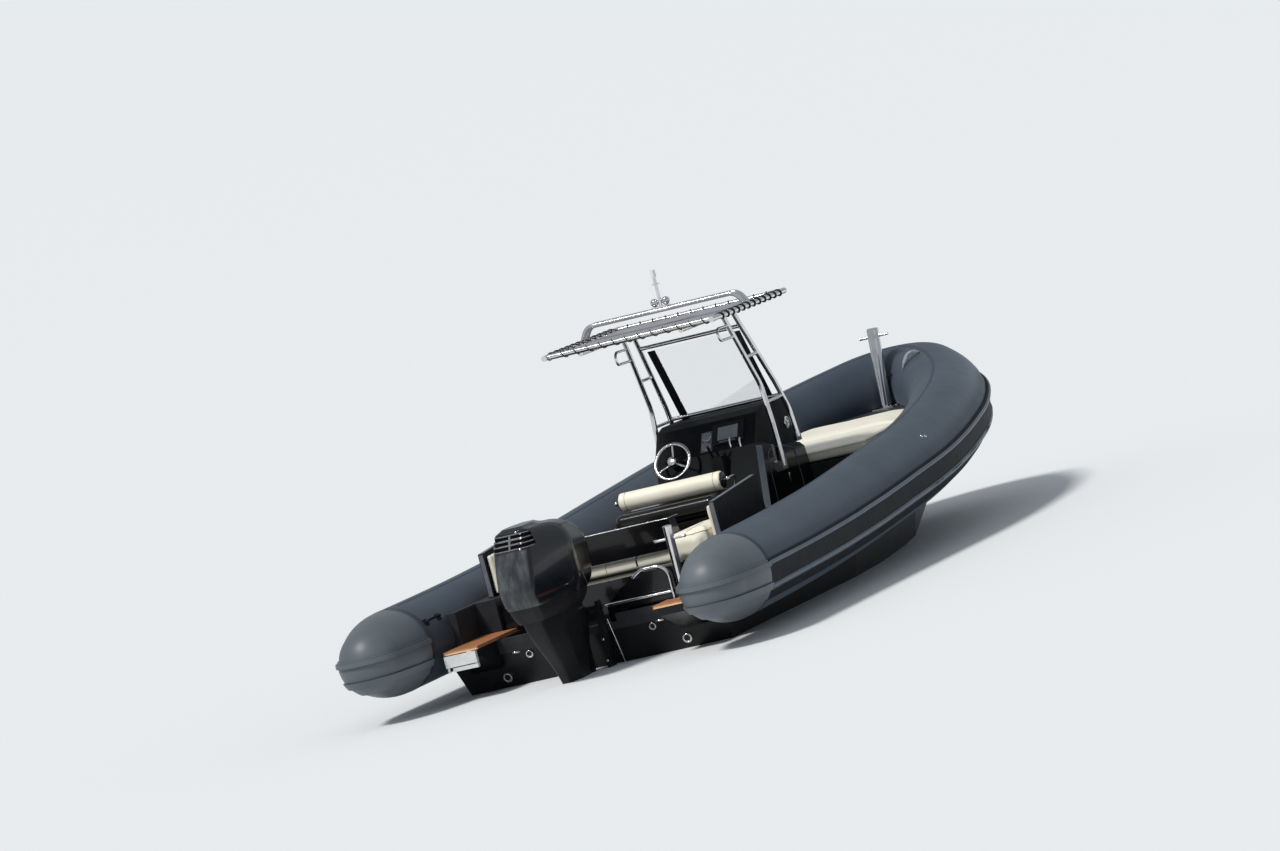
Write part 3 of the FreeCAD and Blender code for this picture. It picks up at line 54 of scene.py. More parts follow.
class Paint:
    """A procedural material with its nodes close at hand."""

    def __init__(self, name, color, rough=0.5, metal=0.0, coat=0.0, specular=0.5, slot=None):
        self.mat = bpy.data.materials.new(name)
        self.mat.use_nodes = True
        self.tree = self.mat.node_tree
        self.shader = self.tree.nodes["Principled BSDF"]
        self.slot = slot
        self.normal = None
        self.put("Base Color", (*color, 1))
        self.put("Roughness", rough)
        self.put("Metallic", metal)
        self.put("Coat Weight", coat)
        self.put("Coat Roughness", 0.04)
        self.put("Specular IOR Level", specular)
        self.place = self.node("ShaderNodeTexCoord").outputs["Object"]

    def node(self, kind, **values):
        """A new node with its sockets or settings filled in."""
        made = self.tree.nodes.new(kind)
        for key, value in values.items():
            if key in made.inputs:
                made.inputs[key].default_value = value
            else:
                setattr(made, key, value)
        return made

    def put(self, socket, value):
        self.shader.inputs[socket].default_value = value

    def link(self, source, target):
        self.tree.links.new(source, target)

    def stretched(self, x=1.0, y=1.0, z=1.0):
        """Object coordinates scaled along each axis."""
        mapping = self.node("ShaderNodeMapping")
        mapping.inputs["Scale"].default_value = (x, y, z)
        self.link(self.place, mapping.inputs["Vector"])
        return mapping.outputs["Vector"]

    def axis(self, letter):
        """One of the object coordinates."""
        made = self.node("ShaderNodeSeparateXYZ")
        self.link(self.place, made.inputs["Vector"])
        return made.outputs[letter]

    def reckon(self, operation, first, second=None):
        """A sum on one output, or on two."""
        made = self.node("ShaderNodeMath", operation=operation)
        self.link(first, made.inputs[0])
        if second:
            self.link(second, made.inputs[1])
        return made.outputs[0]

    def spread(self, source, low, high, start=0.0, end=1.0):
        """A texture brought from start..end to low..high."""
        made = self.node("ShaderNodeMapRange")
        for socket, value in (("From Min", start), ("From Max", end), ("To Min", low), ("To Max", high)):
            made.inputs[socket].default_value = value
        self.link(self.texture(source), made.inputs["Value"])
        return made.outputs["Result"]

    def blend(self, share, below, above):
        """A colour between two, by a share from nought to one."""
        made = self.node("ShaderNodeMix", data_type="RGBA")
        self.link(share, made.inputs["Factor"])
        self.link(below, made.inputs["A"])
        self.link(above, made.inputs["B"])
        return made.outputs["Result"]

    def noise(self, scale, detail=4.0, place=None):
        made = self.node("ShaderNodeTexNoise", Scale=scale, Detail=detail)
        self.link(place or self.place, made.inputs["Vector"])
        return made.outputs["Fac"]

    def texture(self, source):
        """A texture's output: either that output itself, or the settings of a noise."""
        return self.noise(*source) if isinstance(source, tuple) else source

    def cells(self, scale):
        made = self.node("ShaderNodeTexVoronoi", Scale=scale)
        self.link(self.place, made.inputs["Vector"])
        return made.outputs["Distance"]

    def waves(self, scale, direction):
        made = self.node("ShaderNodeTexWave", Scale=scale, Distortion=0.0, bands_direction=direction)
        self.link(self.place, made.inputs["Vector"])
        return made.outputs["Fac"]

    def ramp(self, source, stops):
        """A colour ramp: stops are (position, grey or colour)."""
        source = self.texture(source)
        made = self.node("ShaderNodeValToRGB")
        band = made.color_ramp
        while len(band.elements) < len(stops):
            band.elements.new(0.5)
        for element, (at, value) in zip(band.elements, stops):
            element.position = at
            shade = value if isinstance(value, tuple) else (value, value, value)
            element.color = (*shade, 1)
        self.link(source, made.inputs["Fac"])
        return made.outputs["Color"]

    def tint(self, source, low, high):
        """Base colour between two shades, by a texture."""
        self.link(self.ramp(source, [(0.3, low), (0.7, high)]), self.shader.inputs["Base Color"])
        return self

    def scuff(self, source, low, high):
        """Roughness between two values, by a texture."""
        self.link(self.spread(source, low, high), self.shader.inputs["Roughness"])
        return self

    def bump(self, source, strength, distance):
        """Relief, added over any relief that is there."""
        made = self.node("ShaderNodeBump", Strength=strength, Distance=distance)
        self.link(self.texture(source), made.inputs["Height"])
        if self.normal:
            self.link(self.normal, made.inputs["Normal"])
        self.normal = made.outputs["Normal"]
        self.link(self.normal, self.shader.inputs["Normal"])
        return self


# Materials. Colours are linear.

tube = Paint("tube_fabric", (0.034, 0.047, 0.068), 0.5, specular=0.26)
tube.tint((2.2, 6), (0.028, 0.040, 0.059), (0.040, 0.055, 0.078))
tube.scuff((9, 5), 0.44, 0.58)
tube.bump((900, 2), 0.10, 0.0006).bump((3, 3), 0.12, 0.006)
tube.put("Sheen Weight", 0.12)
tube.put("Sheen Roughness", 0.45)
tube.put("Sheen Tint", (0.75, 0.87, 1.0, 1))

cap = Paint("tube_end_fabric", (0.105, 0.125, 0.142), 0.44, specular=0.35)
cap.tint((2.5, 6), (0.090, 0.109, 0.126), (0.118, 0.138, 0.156))
cap.scuff((9, 5), 0.38, 0.5)
cap.bump((900, 2), 0.10, 0.0006)

tape = Paint("seam_tape", (0.024, 0.034, 0.050), 0.5, specular=0.3, slot="tube_fabric")
tape.tint((6, 5), (0.020, 0.029, 0.044), (0.030, 0.041, 0.059))
tape.scuff((24, 4), 0.42, 0.56)
tape.bump((700, 2), 0.12, 0.0006)

band = Paint("band_rubber", (0.006, 0.009, 0.013), 0.6, specular=0.1, slot="band_rubber")
band.tint((5, 6), (0.005, 0.008, 0.012), (0.010, 0.013, 0.018))
band.scuff((20, 6), 0.52, 0.68)
band.bump((400, 3), 0.12, 0.0008)

# Ridge beads: the tube's fabric painted lighter, a painted sheen on the ridges of the rubbing band
ridge_sheen_paint = Paint("band_ridges_painted_sheen", (0.062, 0.082, 0.112), 0.38, specular=0.4, slot="tube_fabric")
ridge_sheen_paint.tint((4, 5), (0.052, 0.070, 0.098), (0.074, 0.096, 0.130))
ridge_sheen_paint.scuff((14, 4), 0.30, 0.44)
ridge_sheen_paint.bump((600, 2), 0.08, 0.0005)

gloss = Paint("gloss_black_moulding", (0.004, 0.004, 0.005), 0.14, coat=0.3, specular=0.28,
              slot="gloss_black")
gloss.tint((4, 3), (0.003, 0.003, 0.004), (0.006, 0.006, 0.007))
gloss.scuff((7, 5), 0.10, 0.22)
gloss.bump((60, 2), 0.03, 0.0006)

hull_paint = Paint("hull_black", (0.005, 0.006, 0.007), 0.3, coat=0.1, specular=0.24)
hull_paint.tint((3, 5), (0.004, 0.005, 0.006), (0.009, 0.010, 0.012))
hull_paint.scuff((6, 6), 0.24, 0.40)
hull_paint.bump((40, 2), 0.04, 0.0008)

deck_paint = Paint("deck_moulding_grey", (0.020, 0.022, 0.027), 0.52, specular=0.25)
deck_paint.tint((6, 5), (0.016, 0.018, 0.022), (0.028, 0.030, 0.035))
deck_paint.scuff((12, 4), 0.44, 0.6)
deck_paint.bump(deck_paint.cells(220), 0.35, 0.0010)

trim_grey = Paint("moulded_edge_grey", (0.125, 0.142, 0.165), 0.42, specular=0.35, slot="gloss_black")
trim_grey.tint((15, 4), (0.108, 0.124, 0.146), (0.146, 0.164, 0.188))
trim_grey.scuff((30, 4), 0.36, 0.5)
trim_grey.bump((300, 2), 0.08, 0.0006)

satin = Paint("satin_black", (0.008, 0.008, 0.010), 0.42, specular=0.26, slot="matt_black")
satin.tint((8, 4), (0.006, 0.006, 0.008), (0.012, 0.012, 0.015))
satin.scuff((30, 4), 0.34, 0.52)
satin.bump((500, 2), 0.12, 0.0006)

matte = Paint("matte_black", (0.006, 0.007, 0.009), 0.6, specular=0.12)
matte.tint((9, 4), (0.005, 0.006, 0.008), (0.010, 0.011, 0.013))
matte.scuff((25, 4), 0.52, 0.68)
matte.bump(matte.cells(500), 0.15, 0.0005)

cream = Paint("cream_vinyl", (0.85, 0.81, 0.69), 0.46, specular=0.35, slot="cream_vinyl")
cream.tint((5, 6), (0.815, 0.775, 0.65), (0.885, 0.85, 0.735))
cream.scuff((18, 4), 0.40, 0.54)
cream.bump(cream.cells(420), 0.22, 0.0008).bump((14, 4), 0.16, 0.004)
cream.put("Sheen Weight", 0.08)

welt_paint = Paint("cream_piping", (0.64, 0.59, 0.46), 0.5, slot="cream_vinyl")
welt_paint.tint((60, 3), (0.58, 0.53, 0.41), (0.69, 0.64, 0.51))
welt_paint.bump((600, 2), 0.2, 0.0005)

# Seam lines drawn dark: painted shade in the creases along the cushion seams
seam_shade_paint = Paint("seam_shadow", (0.16, 0.145, 0.12), 0.7, slot="cream_vinyl")
seam_shade_paint.tint((90, 2), (0.12, 0.11, 0.09), (0.22, 0.20, 0.165))
seam_shade_paint.bump((800, 2), 0.3, 0.0005)

steel = Paint("polished_stainless", (0.70, 0.70, 0.71), 0.13, metal=1.0, slot="stainless")
steel.tint((12, 4), (0.62, 0.62, 0.63), (0.77, 0.77, 0.78))
steel.scuff((40, 5), 0.08, 0.2)
steel.bump((350, 2), 0.04, 0.0003)

dark_steel = Paint("propeller_steel", (0.55, 0.55, 0.56), 0.24, metal=1.0)
dark_steel.scuff((30, 5), 0.16, 0.34)
dark_steel.bump((90, 3), 0.08, 0.0006)

teak = Paint("teak_planks", (0.40, 0.155, 0.06), 0.5, specular=0.35)
grain = teak.noise(34, 8, teak.stretched(0.6, 9, 9))
wood = teak.ramp(grain, [(0.25, (0.25, 0.088, 0.034)), (0.5, (0.39, 0.150, 0.062)),
                         (0.8, (0.52, 0.225, 0.105))])
PLANK_WIDTH = 0.054
plank = teak.node("ShaderNodeMath", operation="MULTIPLY")
plank.inputs[1].default_value = 1 / PLANK_WIDTH
teak.link(teak.axis("Y"), plank.inputs[0])
# Dark caulking between the planks
over_plank = teak.reckon("FRACT", plank.outputs[0])
seam = teak.ramp(over_plank, [(0.0, 0.0), (0.045, 0.0), (0.07, 1.0), (0.95, 1.0)])
mixed = teak.node("ShaderNodeMix", data_type="RGBA")
teak.link(seam, mixed.inputs["Factor"])
mixed.inputs["A"].default_value = (0.012, 0.010, 0.009, 1)
teak.link(wood, mixed.inputs["B"])
teak.link(mixed.outputs["Result"], teak.shader.inputs["Base Color"])
teak.scuff(grain, 0.42, 0.62)
teak.bump(grain, 0.25, 0.0008).bump(seam, 0.5, 0.0012)

ladder_paint = Paint("ladder_white", (0.66, 0.67, 0.68), 0.36)
ladder_paint.tint((20, 5), (0.60, 0.61, 0.62), (0.72, 0.73, 0.74))
ladder_paint.bump(ladder_paint.waves(140, "Y"), 0.25, 0.0012)

cloth_paint = Paint("canopy_cloth", (0.27, 0.265, 0.30), 0.85, specular=0.15)
weave = cloth_paint.reckon("MULTIPLY", cloth_paint.waves(160, "X"), cloth_paint.waves(160, "Y"))
cloth_paint.tint((7, 6), (0.24, 0.235, 0.268), (0.30, 0.295, 0.33))
cloth_paint.bump(weave, 0.5, 0.0009).bump((3, 3), 0.15, 0.006)
cloth_paint.put("Sheen Weight", 0.1)

cord_paint = Paint("lacing_cord", (0.012, 0.012, 0.013), 0.6, slot="matt_black")
cord_paint.bump((700, 2), 0.4, 0.0008)
cord_paint.tint((200, 2), (0.009, 0.009, 0.010), (0.022, 0.022, 0.024))

pane_paint = Paint("clear_pane", (0.93, 0.96, 0.97), 0.03)
pane_paint.put("Transmission Weight", 1.0)
pane_paint.put("IOR", 1.12)
pane_paint.put("Alpha", 0.2)
pane_paint.scuff((5, 4), 0.02, 0.10)

screen_paint = Paint("screen_glass", (0.20, 0.235, 0.255), 0.2, coat=0.3, slot="screen_grey")
screen_paint.tint((9, 3), (0.175, 0.21, 0.23), (0.24, 0.275, 0.295))

case_paint = Paint("instrument_case", (0.012, 0.013, 0.015), 0.5, specular=0.2)
case_paint.tint((30, 4), (0.009, 0.010, 0.012), (0.018, 0.019, 0.021))
case_paint.bump((500, 2), 0.15, 0.0005)

lamp_paint = Paint("lamp_lens", (0.80, 0.80, 0.78), 0.2, coat=0.5)
lamp_paint.bump(lamp_paint.waves(260, "Z"), 0.3, 0.0008)
lamp_paint.tint((40, 3), (0.74, 0.74, 0.72), (0.86, 0.86, 0.84))

pad_paint = Paint("bow_pad_grey", (0.215, 0.245, 0.285), 0.5, slot="pad_grey")
pad_paint.tint((6, 5), (0.195, 0.225, 0.265), (0.24, 0.27, 0.31))
pad_paint.bump(pad_paint.cells(260), 0.25, 0.0010)

cowl_paint = Paint("cowl_black", (0.005, 0.0055, 0.008), 0.2, coat=0.35, specular=0.3)
cowl_paint.tint((5, 3), (0.004, 0.0045, 0.007), (0.007, 0.008, 0.011))
cowl_paint.scuff((9, 4), 0.15, 0.26)
cowl_paint.bump((45, 2), 0.02, 0.0005)
# Painted reflection: the aft panel of the cowl is painted greyer than its sides, with upright streaks, for
# the sky reflected in its gloss, and fades out at its borders
aft_share = cowl_paint.spread(cowl_paint.axis("X"), 1.0, 0.0, -0.895, -0.875)
side_share = cowl_paint.spread(cowl_paint.reckon("ABSOLUTE", cowl_paint.axis("Y")), 1.0, 0.0, 0.112, 0.128)
top_share = cowl_paint.spread(cowl_paint.axis("Z"), 1.0, 0.0, 0.985, 0.998)
reflection_share = cowl_paint.reckon("MULTIPLY", cowl_paint.reckon("MULTIPLY", aft_share, side_share), top_share)
reflection_streaks = cowl_paint.ramp((16, 5, cowl_paint.stretched(1, 1, 0.3)),
                          [(0.36, (0.020, 0.023, 0.027)), (0.5, (0.042, 0.047, 0.053)),
                           (0.66, (0.085, 0.092, 0.10))])
cowl_base = cowl_paint.shader.inputs["Base Color"]
skin_colour = cowl_base.links[0].from_socket
cowl_paint.link(cowl_paint.blend(reflection_share, skin_colour, reflection_streaks), cowl_base)

# Painted highlights: light-grey lines for the light caught on the edges of the black louvre bars, the
# divider and the front seam
highlight_line_paint = Paint("louvre_edge_highlights", (0.15, 0.155, 0.17), 0.5, specular=0.3, slot="matt_black")
highlight_line_paint.tint((60, 3), (0.12, 0.125, 0.14), (0.19, 0.195, 0.21))
highlight_line_paint.scuff((80, 3), 0.44, 0.58)

# Painted shade: a near-black sheet set inside each louvre slot, for the shade within the slots
slot_shade_paint = Paint("louvre_slot_shade", (0.003, 0.003, 0.004), 0.8, specular=0.05, slot="matt_black")
slot_shade_paint.tint((90, 2), (0.002, 0.002, 0.003), (0.005, 0.005, 0.006))
slot_shade_paint.bump(slot_shade_paint.cells(400), 0.5, 0.0008)

nosing_paint = Paint("teak_nosing", (0.62, 0.36, 0.18), 0.5, slot="teak")
end_grain = (30, 6, nosing_paint.stretched(9, 0.8, 9))
nosing_paint.tint(end_grain, (0.52, 0.28, 0.13), (0.72, 0.45, 0.25))
nosing_paint.bump((120, 3, nosing_paint.stretched(6, 0.5, 6)), 0.2, 0.0006)

NODE_PAINTS = (
    (hull_paint, "hull platform_brackets"),
    (deck_paint, "deck_moulding cockpit_floor anchor_locker"),
    (tube, "tube_collar"),
    (cap, "tube_ends"),
    (band, "rubbing_band"),
    (teak, "teak_platforms"),
    (ladder_paint, "boarding_ladder"),
    (gloss, "stern_locker stern_bench backrest_shell console_base seat_box seat_tub"),
    (matte, "coaming_shells console_pod"),
    (case_paint, "dash_instruments"),
    (satin, "helm_boss throttle screen_borders engine_clamp swivel_bracket drive_leg gearcase engine_pan"),
    (cream, "backrest_pad bench_cushions coaming_pads bolster_roll bow_cushions"),
    (pad_paint, "bow_pad"),
    (cloth_paint, "canopy_cloth"),
    (pane_paint, "windscreen"),
    (lamp_paint, "mast_lamp"),
    (cowl_paint, "engine_cowl"),
    (dark_steel, "propeller"),
    (steel, "transom_fittings stern_post stern_rail bolster_knobs canopy_frame canopy_legs_port "
            "canopy_legs_starboard canopy_cross_bars antenna_hoop light_mast horns bow_post steering_wheel"))
for paint, names in NODE_PAINTS:
    for node in [nodes[name] for name in names.split()]:
        if not node.material_slots:
            node.data.materials.append(paint.mat)
        for entry in node.material_slots:
            entry.material = paint.mat


# Geometry helpers

def add(name, data, paint, body="boat"):
    """A new piece with its material, riding on a body."""
    piece = bpy.data.objects.new(name, data)
    scene.collection.objects.link(piece)
    data.materials.append(paint.mat)
    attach(piece, body)
    return piece


def mesh_of(name, verts, faces, smooth=True):
    data = bpy.data.meshes.new(name)
    data.from_pydata([tuple(v) for v in verts], [], faces)
    data.update()
    if smooth:
        data.shade_smooth()
    return data


def line(name, runs, radius, paint, body="boat", closed=False, kind="POLY", detail=3):
    """Round bars, cords or beads along lists of points."""
    data = bpy.data.curves.new(name, "CURVE")
    data.dimensions = "3D"
    data.bevel_depth = radius
    data.bevel_resolution = detail
    data.use_fill_caps = True
    for points in runs:
        spline = data.splines.new(kind)
        spline.points.add(len(points) - 1)
        for target, point in zip(spline.points, points):
            target.co = (*point, 1)
        spline.use_cyclic_u = closed
        if kind == "NURBS":
            spline.order_u = 3
            spline.use_endpoint_u = not closed
    return add(name, data, paint, body)


def circle(side, other, steps):
    """Directions all round, turning from one direction to the other."""
    turns = [2 * math.pi * step / steps for step in range(steps)]
    return [side * math.cos(turn) + other * math.sin(turn) for turn in turns]


def turned(profile, origin, axis, steps, first=0):
    """Points and faces of a turned form: profile is (distance along the axis, radius)."""
    side = axis.orthogonal().normalized()
    outs = circle(side, axis.cross(side), steps)
    verts = [origin + axis * along + out * radius for along, radius in profile for out in outs]
    faces = []
    for row in range(len(profile) - 1):
        low = first + row * steps
        high = low + steps
        for step in range(steps):
            after = (step + 1) % steps
            faces.append((low + step, low + after, high + after, high + step))
    last = first + (len(profile) - 1) * steps
    faces.append(tuple(reversed(range(first, first + steps))))
    faces.append(tuple(range(last, last + steps)))
    return verts, faces


def lathe(name, profile, origin, axis, paint, body="boat", steps=40):
    """A turned piece."""
    verts, faces = turned(profile, Vector(origin), Vector(axis).normalized(), steps)
    piece = add(name, mesh_of(name, verts, faces), paint, body)
    crease_by_angle(piece)
    return piece


def crease_by_angle(piece, degrees=35):
    """Flat shading only across sharp edges."""
    form = bmesh.new()
    form.from_mesh(piece.data)
    form.normal_update()
    for edge in form.edges:
        edge.smooth = len(edge.link_faces) == 2 and edge.calc_face_angle(0) < math.radians(degrees)
    form.to_mesh(piece.data)
    form.free()


def plate(name, centre, along, across, size, paint, body="boat", round_off=0.004):
    """A rounded plate: size is (length, width, thickness) on the two directions and their normal."""
    along, across = Vector(along).normalized(), Vector(across).normalized()
    up = along.cross(across)
    form = bmesh.new()
    bmesh.ops.create_cube(form, size=1.0)
    for vert in form.verts:
        x, y, z = vert.co
        vert.co = Vector(centre) + along * x * size[0] + across * y * size[1] + up * z * size[2]
    reach = min(round_off, min(size) * 0.49)
    bmesh.ops.bevel(form, geom=form.edges[:], offset=reach, segments=3, affect="EDGES", profile=0.5)
    data = bpy.data.meshes.new(name)
    form.to_mesh(data)
    form.free()
    data.shade_smooth()
    piece = add(name, data, paint, body)
    crease_by_angle(piece, 50)
    return piece


def split_solids(node_name):
    """One new mesh for each separate solid of a node."""
    form = bmesh.new()
    form.from_mesh(nodes[node_name].data)
    bmesh.ops.remove_doubles(form, verts=form.verts, dist=1e-5)
    form.verts.index_update()
    left = set(form.verts)
    groups = []
    while left:
        seed = left.pop()
        group, stack = {seed}, [seed]
        while stack:
            for edge in stack.pop().link_edges:
                for vert in edge.verts:
                    if vert in left:
                        left.discard(vert)
                        group.add(vert)
                        stack.append(vert)
        groups.append(sorted(group, key=lambda vert: vert.index))
    meshes = []
    for group in groups:
        order = {vert: index for index, vert in enumerate(group)}
        faces = [[order[v] for v in face.verts] for face in form.faces if face.verts[0] in order]
        meshes.append(([v.co.copy() for v in group], faces))
    form.free()
    meshes.sort(key=lambda pair: tuple(round(c, 3) for c in sum(pair[0], Vector()) / len(pair[0])))
    return meshes


def apply_modifiers(piece):
    """Bake every modifier into the mesh."""
    graph = bpy.context.evaluated_depsgraph_get()
    baked = bpy.data.meshes.new_from_object(piece.evaluated_get(graph))
    piece.modifiers.clear()
    piece.data = baked


# Upholstery: each pad starts as its solid, drawn in a little, and is blown up as cloth

def box_of(solid):
    """The least and greatest corner of a solid."""
    verts = solid[0]
    low = Vector([min(v[i] for v in verts) for i in range(3)])
    high = Vector([max(v[i] for v in verts) for i in range(3)])
    return low, high


def cushion(name, solid, paint, voxel, swell, round_off, pressure=4.0, fill=0.8):
    """A padded form in the space of its solid."""
    low, high = box_of(solid)
    middle = (low + high) / 2
    data = mesh_of(name, *solid)
    piece = add(name, data, paint)
    form = bmesh.new()
    form.from_mesh(data)
    bmesh.ops.dissolve_limit(form, angle_limit=0.02, verts=form.verts, edges=form.edges)
    span = high - low
    for vert in form.verts:
        for i in range(3):
            reach = min(swell * 0.6, span[i] * 0.12)
            vert.co[i] += reach if vert.co[i] < middle[i] else -reach
    bmesh.ops.bevel(form, geom=form.edges[:], offset=min(round_off, min(span) * 0.3), segments=3,
                    affect="EDGES", profile=0.5, clamp_overlap=True)
    form.to_mesh(data)
    form.free()
    remesh = piece.modifiers.new("remesh", "REMESH")
    remesh.mode = "VOXEL"
    remesh.voxel_size = voxel
    apply_modifiers(piece)
    rest = [v.co.copy() for v in piece.data.vertices]
    swell_up(piece, rest, swell, pressure)
    for vert in piece.data.vertices:
        for i in range(3):
            vert.co[i] = min(max(vert.co[i], low[i] - 0.001), high[i] + 0.006)
        vert.co.z = max(vert.co.z, low.z)
    piece.data.materials.clear()
    piece.data.materials.append(paint.mat)
    smooth = piece.modifiers.new("smooth", "SMOOTH")
    smooth.factor = 0.5
    smooth.iterations = 4
    apply_modifiers(piece)
    piece.data.shade_smooth()
    return piece


def swell_up(piece, rest, cap_at, pressure):
    """Blow a closed mesh up as cloth, with a cap on how far it moves."""
    cloth = piece.modifiers.new("cloth", "CLOTH")
    cloth.settings.use_pressure = True
    cloth.settings.uniform_pressure_force = pressure
    cloth.settings.effector_weights.gravity = 0
    cloth.settings.quality = 4
    cloth.settings.tension_stiffness = 20
    cloth.settings.compression_stiffness = 20
    cloth.settings.bending_stiffness = 1
    cloth.point_cache.frame_start = 1
    cloth.point_cache.frame_end = 20
    for number in range(1, 21):
        scene.frame_set(number)
    graph = bpy.context.evaluated_depsgraph_get()
    blown = [v.co.copy() for v in piece.evaluated_get(graph).data.vertices]
    piece.modifiers.remove(cloth)
    scene.frame_set(1)
    for vert, start, after in zip(piece.data.vertices, rest, blown):
        push = after - start
        if push.length > cap_at:
            push *= cap_at / push.length
        vert.co = start + push


def surface_of(piece):
    """A search tree on a piece's surface."""
    graph = bpy.context.evaluated_depsgraph_get()
    return BVHTree.FromObject(piece, graph)


def nearest(tree, place):
    """The point and normal of a surface nearest to a place."""
    return tree.find_nearest(Vector(place))[:2]


def struck(tree, start, heading):
    """The point and normal where a ray meets a surface, or None twice."""
    return tree.ray_cast(Vector(start), heading)[:2]


def run_on(tree, points, lift=0.0, step=0.012):
    """Points along a path, brought onto a surface and lifted off it."""
    places = []
    for first, last in zip(points, points[1:]):
        count = max(1, int((last - first).length / step))
        places += [first.lerp(last, index / count) for index in range(count)]
    return [spot + normal * lift for spot, normal in (nearest(tree, at) for at in places + points[-1:])]


def rim(low, high, z, inset=0.0):
    """The four corners of a box at a height, as a closed run."""
    corners = [Vector((low.x + inset, low.y + inset, z)), Vector((high.x - inset, low.y + inset, z)),
               Vector((high.x - inset, high.y - inset, z)), Vector((low.x + inset, high.y - inset, z))]
    return corners + corners[:1]


def ribbon(name, stations, width, thick, paint, body="boat", closed=False):
    """A flat band laid on a surface: stations are (point, normal) pairs along its middle."""
    verts, faces = [], []
    count = len(stations)
    for index, (spot, normal) in enumerate(stations):
        before = stations[index - 1][0] if index or closed else spot
        after = stations[(index + 1) % count][0] if index < count - 1 or closed else spot
        side = normal.cross(after - before).normalized() * width / 2
        sunk, raised = normal * -0.002, normal * thick
        verts += [spot + side + sunk, spot + side * 0.9 + raised]
        verts += [spot - side * 0.9 + raised, spot - side + sunk]
    for index in range(count if closed else count - 1):
        a, b = index * 4, (index + 1) % count * 4
        for k in range(4):
            faces.append((a + k, a + (k + 1) % 4, b + (k + 1) % 4, b + k))
    if not closed:
        last = (count - 1) * 4
        faces += [(3, 2, 1, 0), (last, last + 1, last + 2, last + 3)]
    piece = add(name, mesh_of(name, verts, faces), paint, body)
    form = bmesh.new()
    form.from_mesh(piece.data)
    bmesh.ops.recalc_face_normals(form, faces=form.faces)
    form.to_mesh(piece.data)
    form.free()
    crease_by_angle(piece, 40)
    return piece


def studs(name, spots, radius, height, paint, body="boat", steps=14):
    """Domed heads, one at each (point, normal)."""
    rows = [(-0.4, 1.0), (0.25, 1.0), (0.7, 0.82), (0.95, 0.45)]
    dome = [(rise * height, share * radius) for rise, share in rows]
    verts, faces = [], []
    for spot, normal in spots:
        more_verts, more_faces = turned(dome, spot, normal, steps, len(verts))
        verts += more_verts
        faces += more_faces
    return add(name, mesh_of(name, verts, faces), paint, body)


def curve_points(points, detail=12):
    """Points along a smooth curve that follows a few control points."""
    data = bpy.data.curves.new("guide", "CURVE")
    data.dimensions = "3D"
    data.resolution_u = detail
    spline = data.splines.new("NURBS")
    spline.points.add(len(points) - 1)
    for target, point in zip(spline.points, points):
        target.co = (*point, 1)
    spline.order_u = 3
    spline.use_endpoint_u = True
    guide = bpy.data.objects.new("guide", data)
    scene.collection.objects.link(guide)
    bpy.context.view_layer.update()
    mesh = bpy.data.meshes.new_from_object(guide.evaluated_get(bpy.context.evaluated_depsgraph_get()))
    found = [v.co.copy() for v in mesh.vertices]
    bpy.data.objects.remove(guide)
    return found


soft = {}
for node_name, settings in {
        "bench_cushions": dict(voxel=0.011, swell=0.014, round_off=0.02),
        "backrest_pad": dict(voxel=0.011, swell=0.012, round_off=0.02),
        "coaming_pads": dict(voxel=0.011, swell=0.012, round_off=0.02),
        "bolster_roll": dict(voxel=0.009, swell=0.006, round_off=0.02),
        "bow_pad": dict(voxel=0.009, swell=0.006, round_off=0.008),
        "bow_cushions": dict(voxel=0.016, swell=0.018, round_off=0.025)}.items():
    for index, solid in enumerate(split_solids(node_name)):
        paint = pad_paint if node_name == "bow_pad" else cream
        made = cushion("%s_%d" % (node_name, index), solid, paint, **settings)
        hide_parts(node_name)
        soft[made.name] = (made, solid)

# Piping along the upper edges of the seat pads
for name, (piece, solid) in soft.items():
    if name.startswith(("bench_cushions", "bow_cushions")):
        low, high = box_of(solid)
        tree = surface_of(piece)
        height = high.z - low.z
        outline = rim(low, high, high.z - 0.12 * height)
        line(name + "_piping", [run_on(tree, outline, 0.001)], 0.0035, welt_paint)

# Canopy cloth, which a lacing stretches from eyelet to eyelet inside the frame
cloth_low, cloth_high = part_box("canopy_cloth")
CLOTH_CELLS = 64
EYELETS_A_SIDE = 13
SCALLOP_DEPTH, SCALLOP_REACH = 0.004, 1 / 16
CLOTH_BELLY, CLOTH_TOP_DROP, CLOTH_UNDER_DROP = 0.0035, 0.0035, 0.0060


def scallop(along, over):
    """How far an edge is drawn in: along the edge, and over the cloth away from it."""
    depth = SCALLOP_DEPTH * (1 - math.cos(2 * math.pi * along * EYELETS_A_SIDE))
    depth *= max(0.0, 1 - min(over, 1 - over) / SCALLOP_REACH)
    return depth if over < 0.5 else -depth


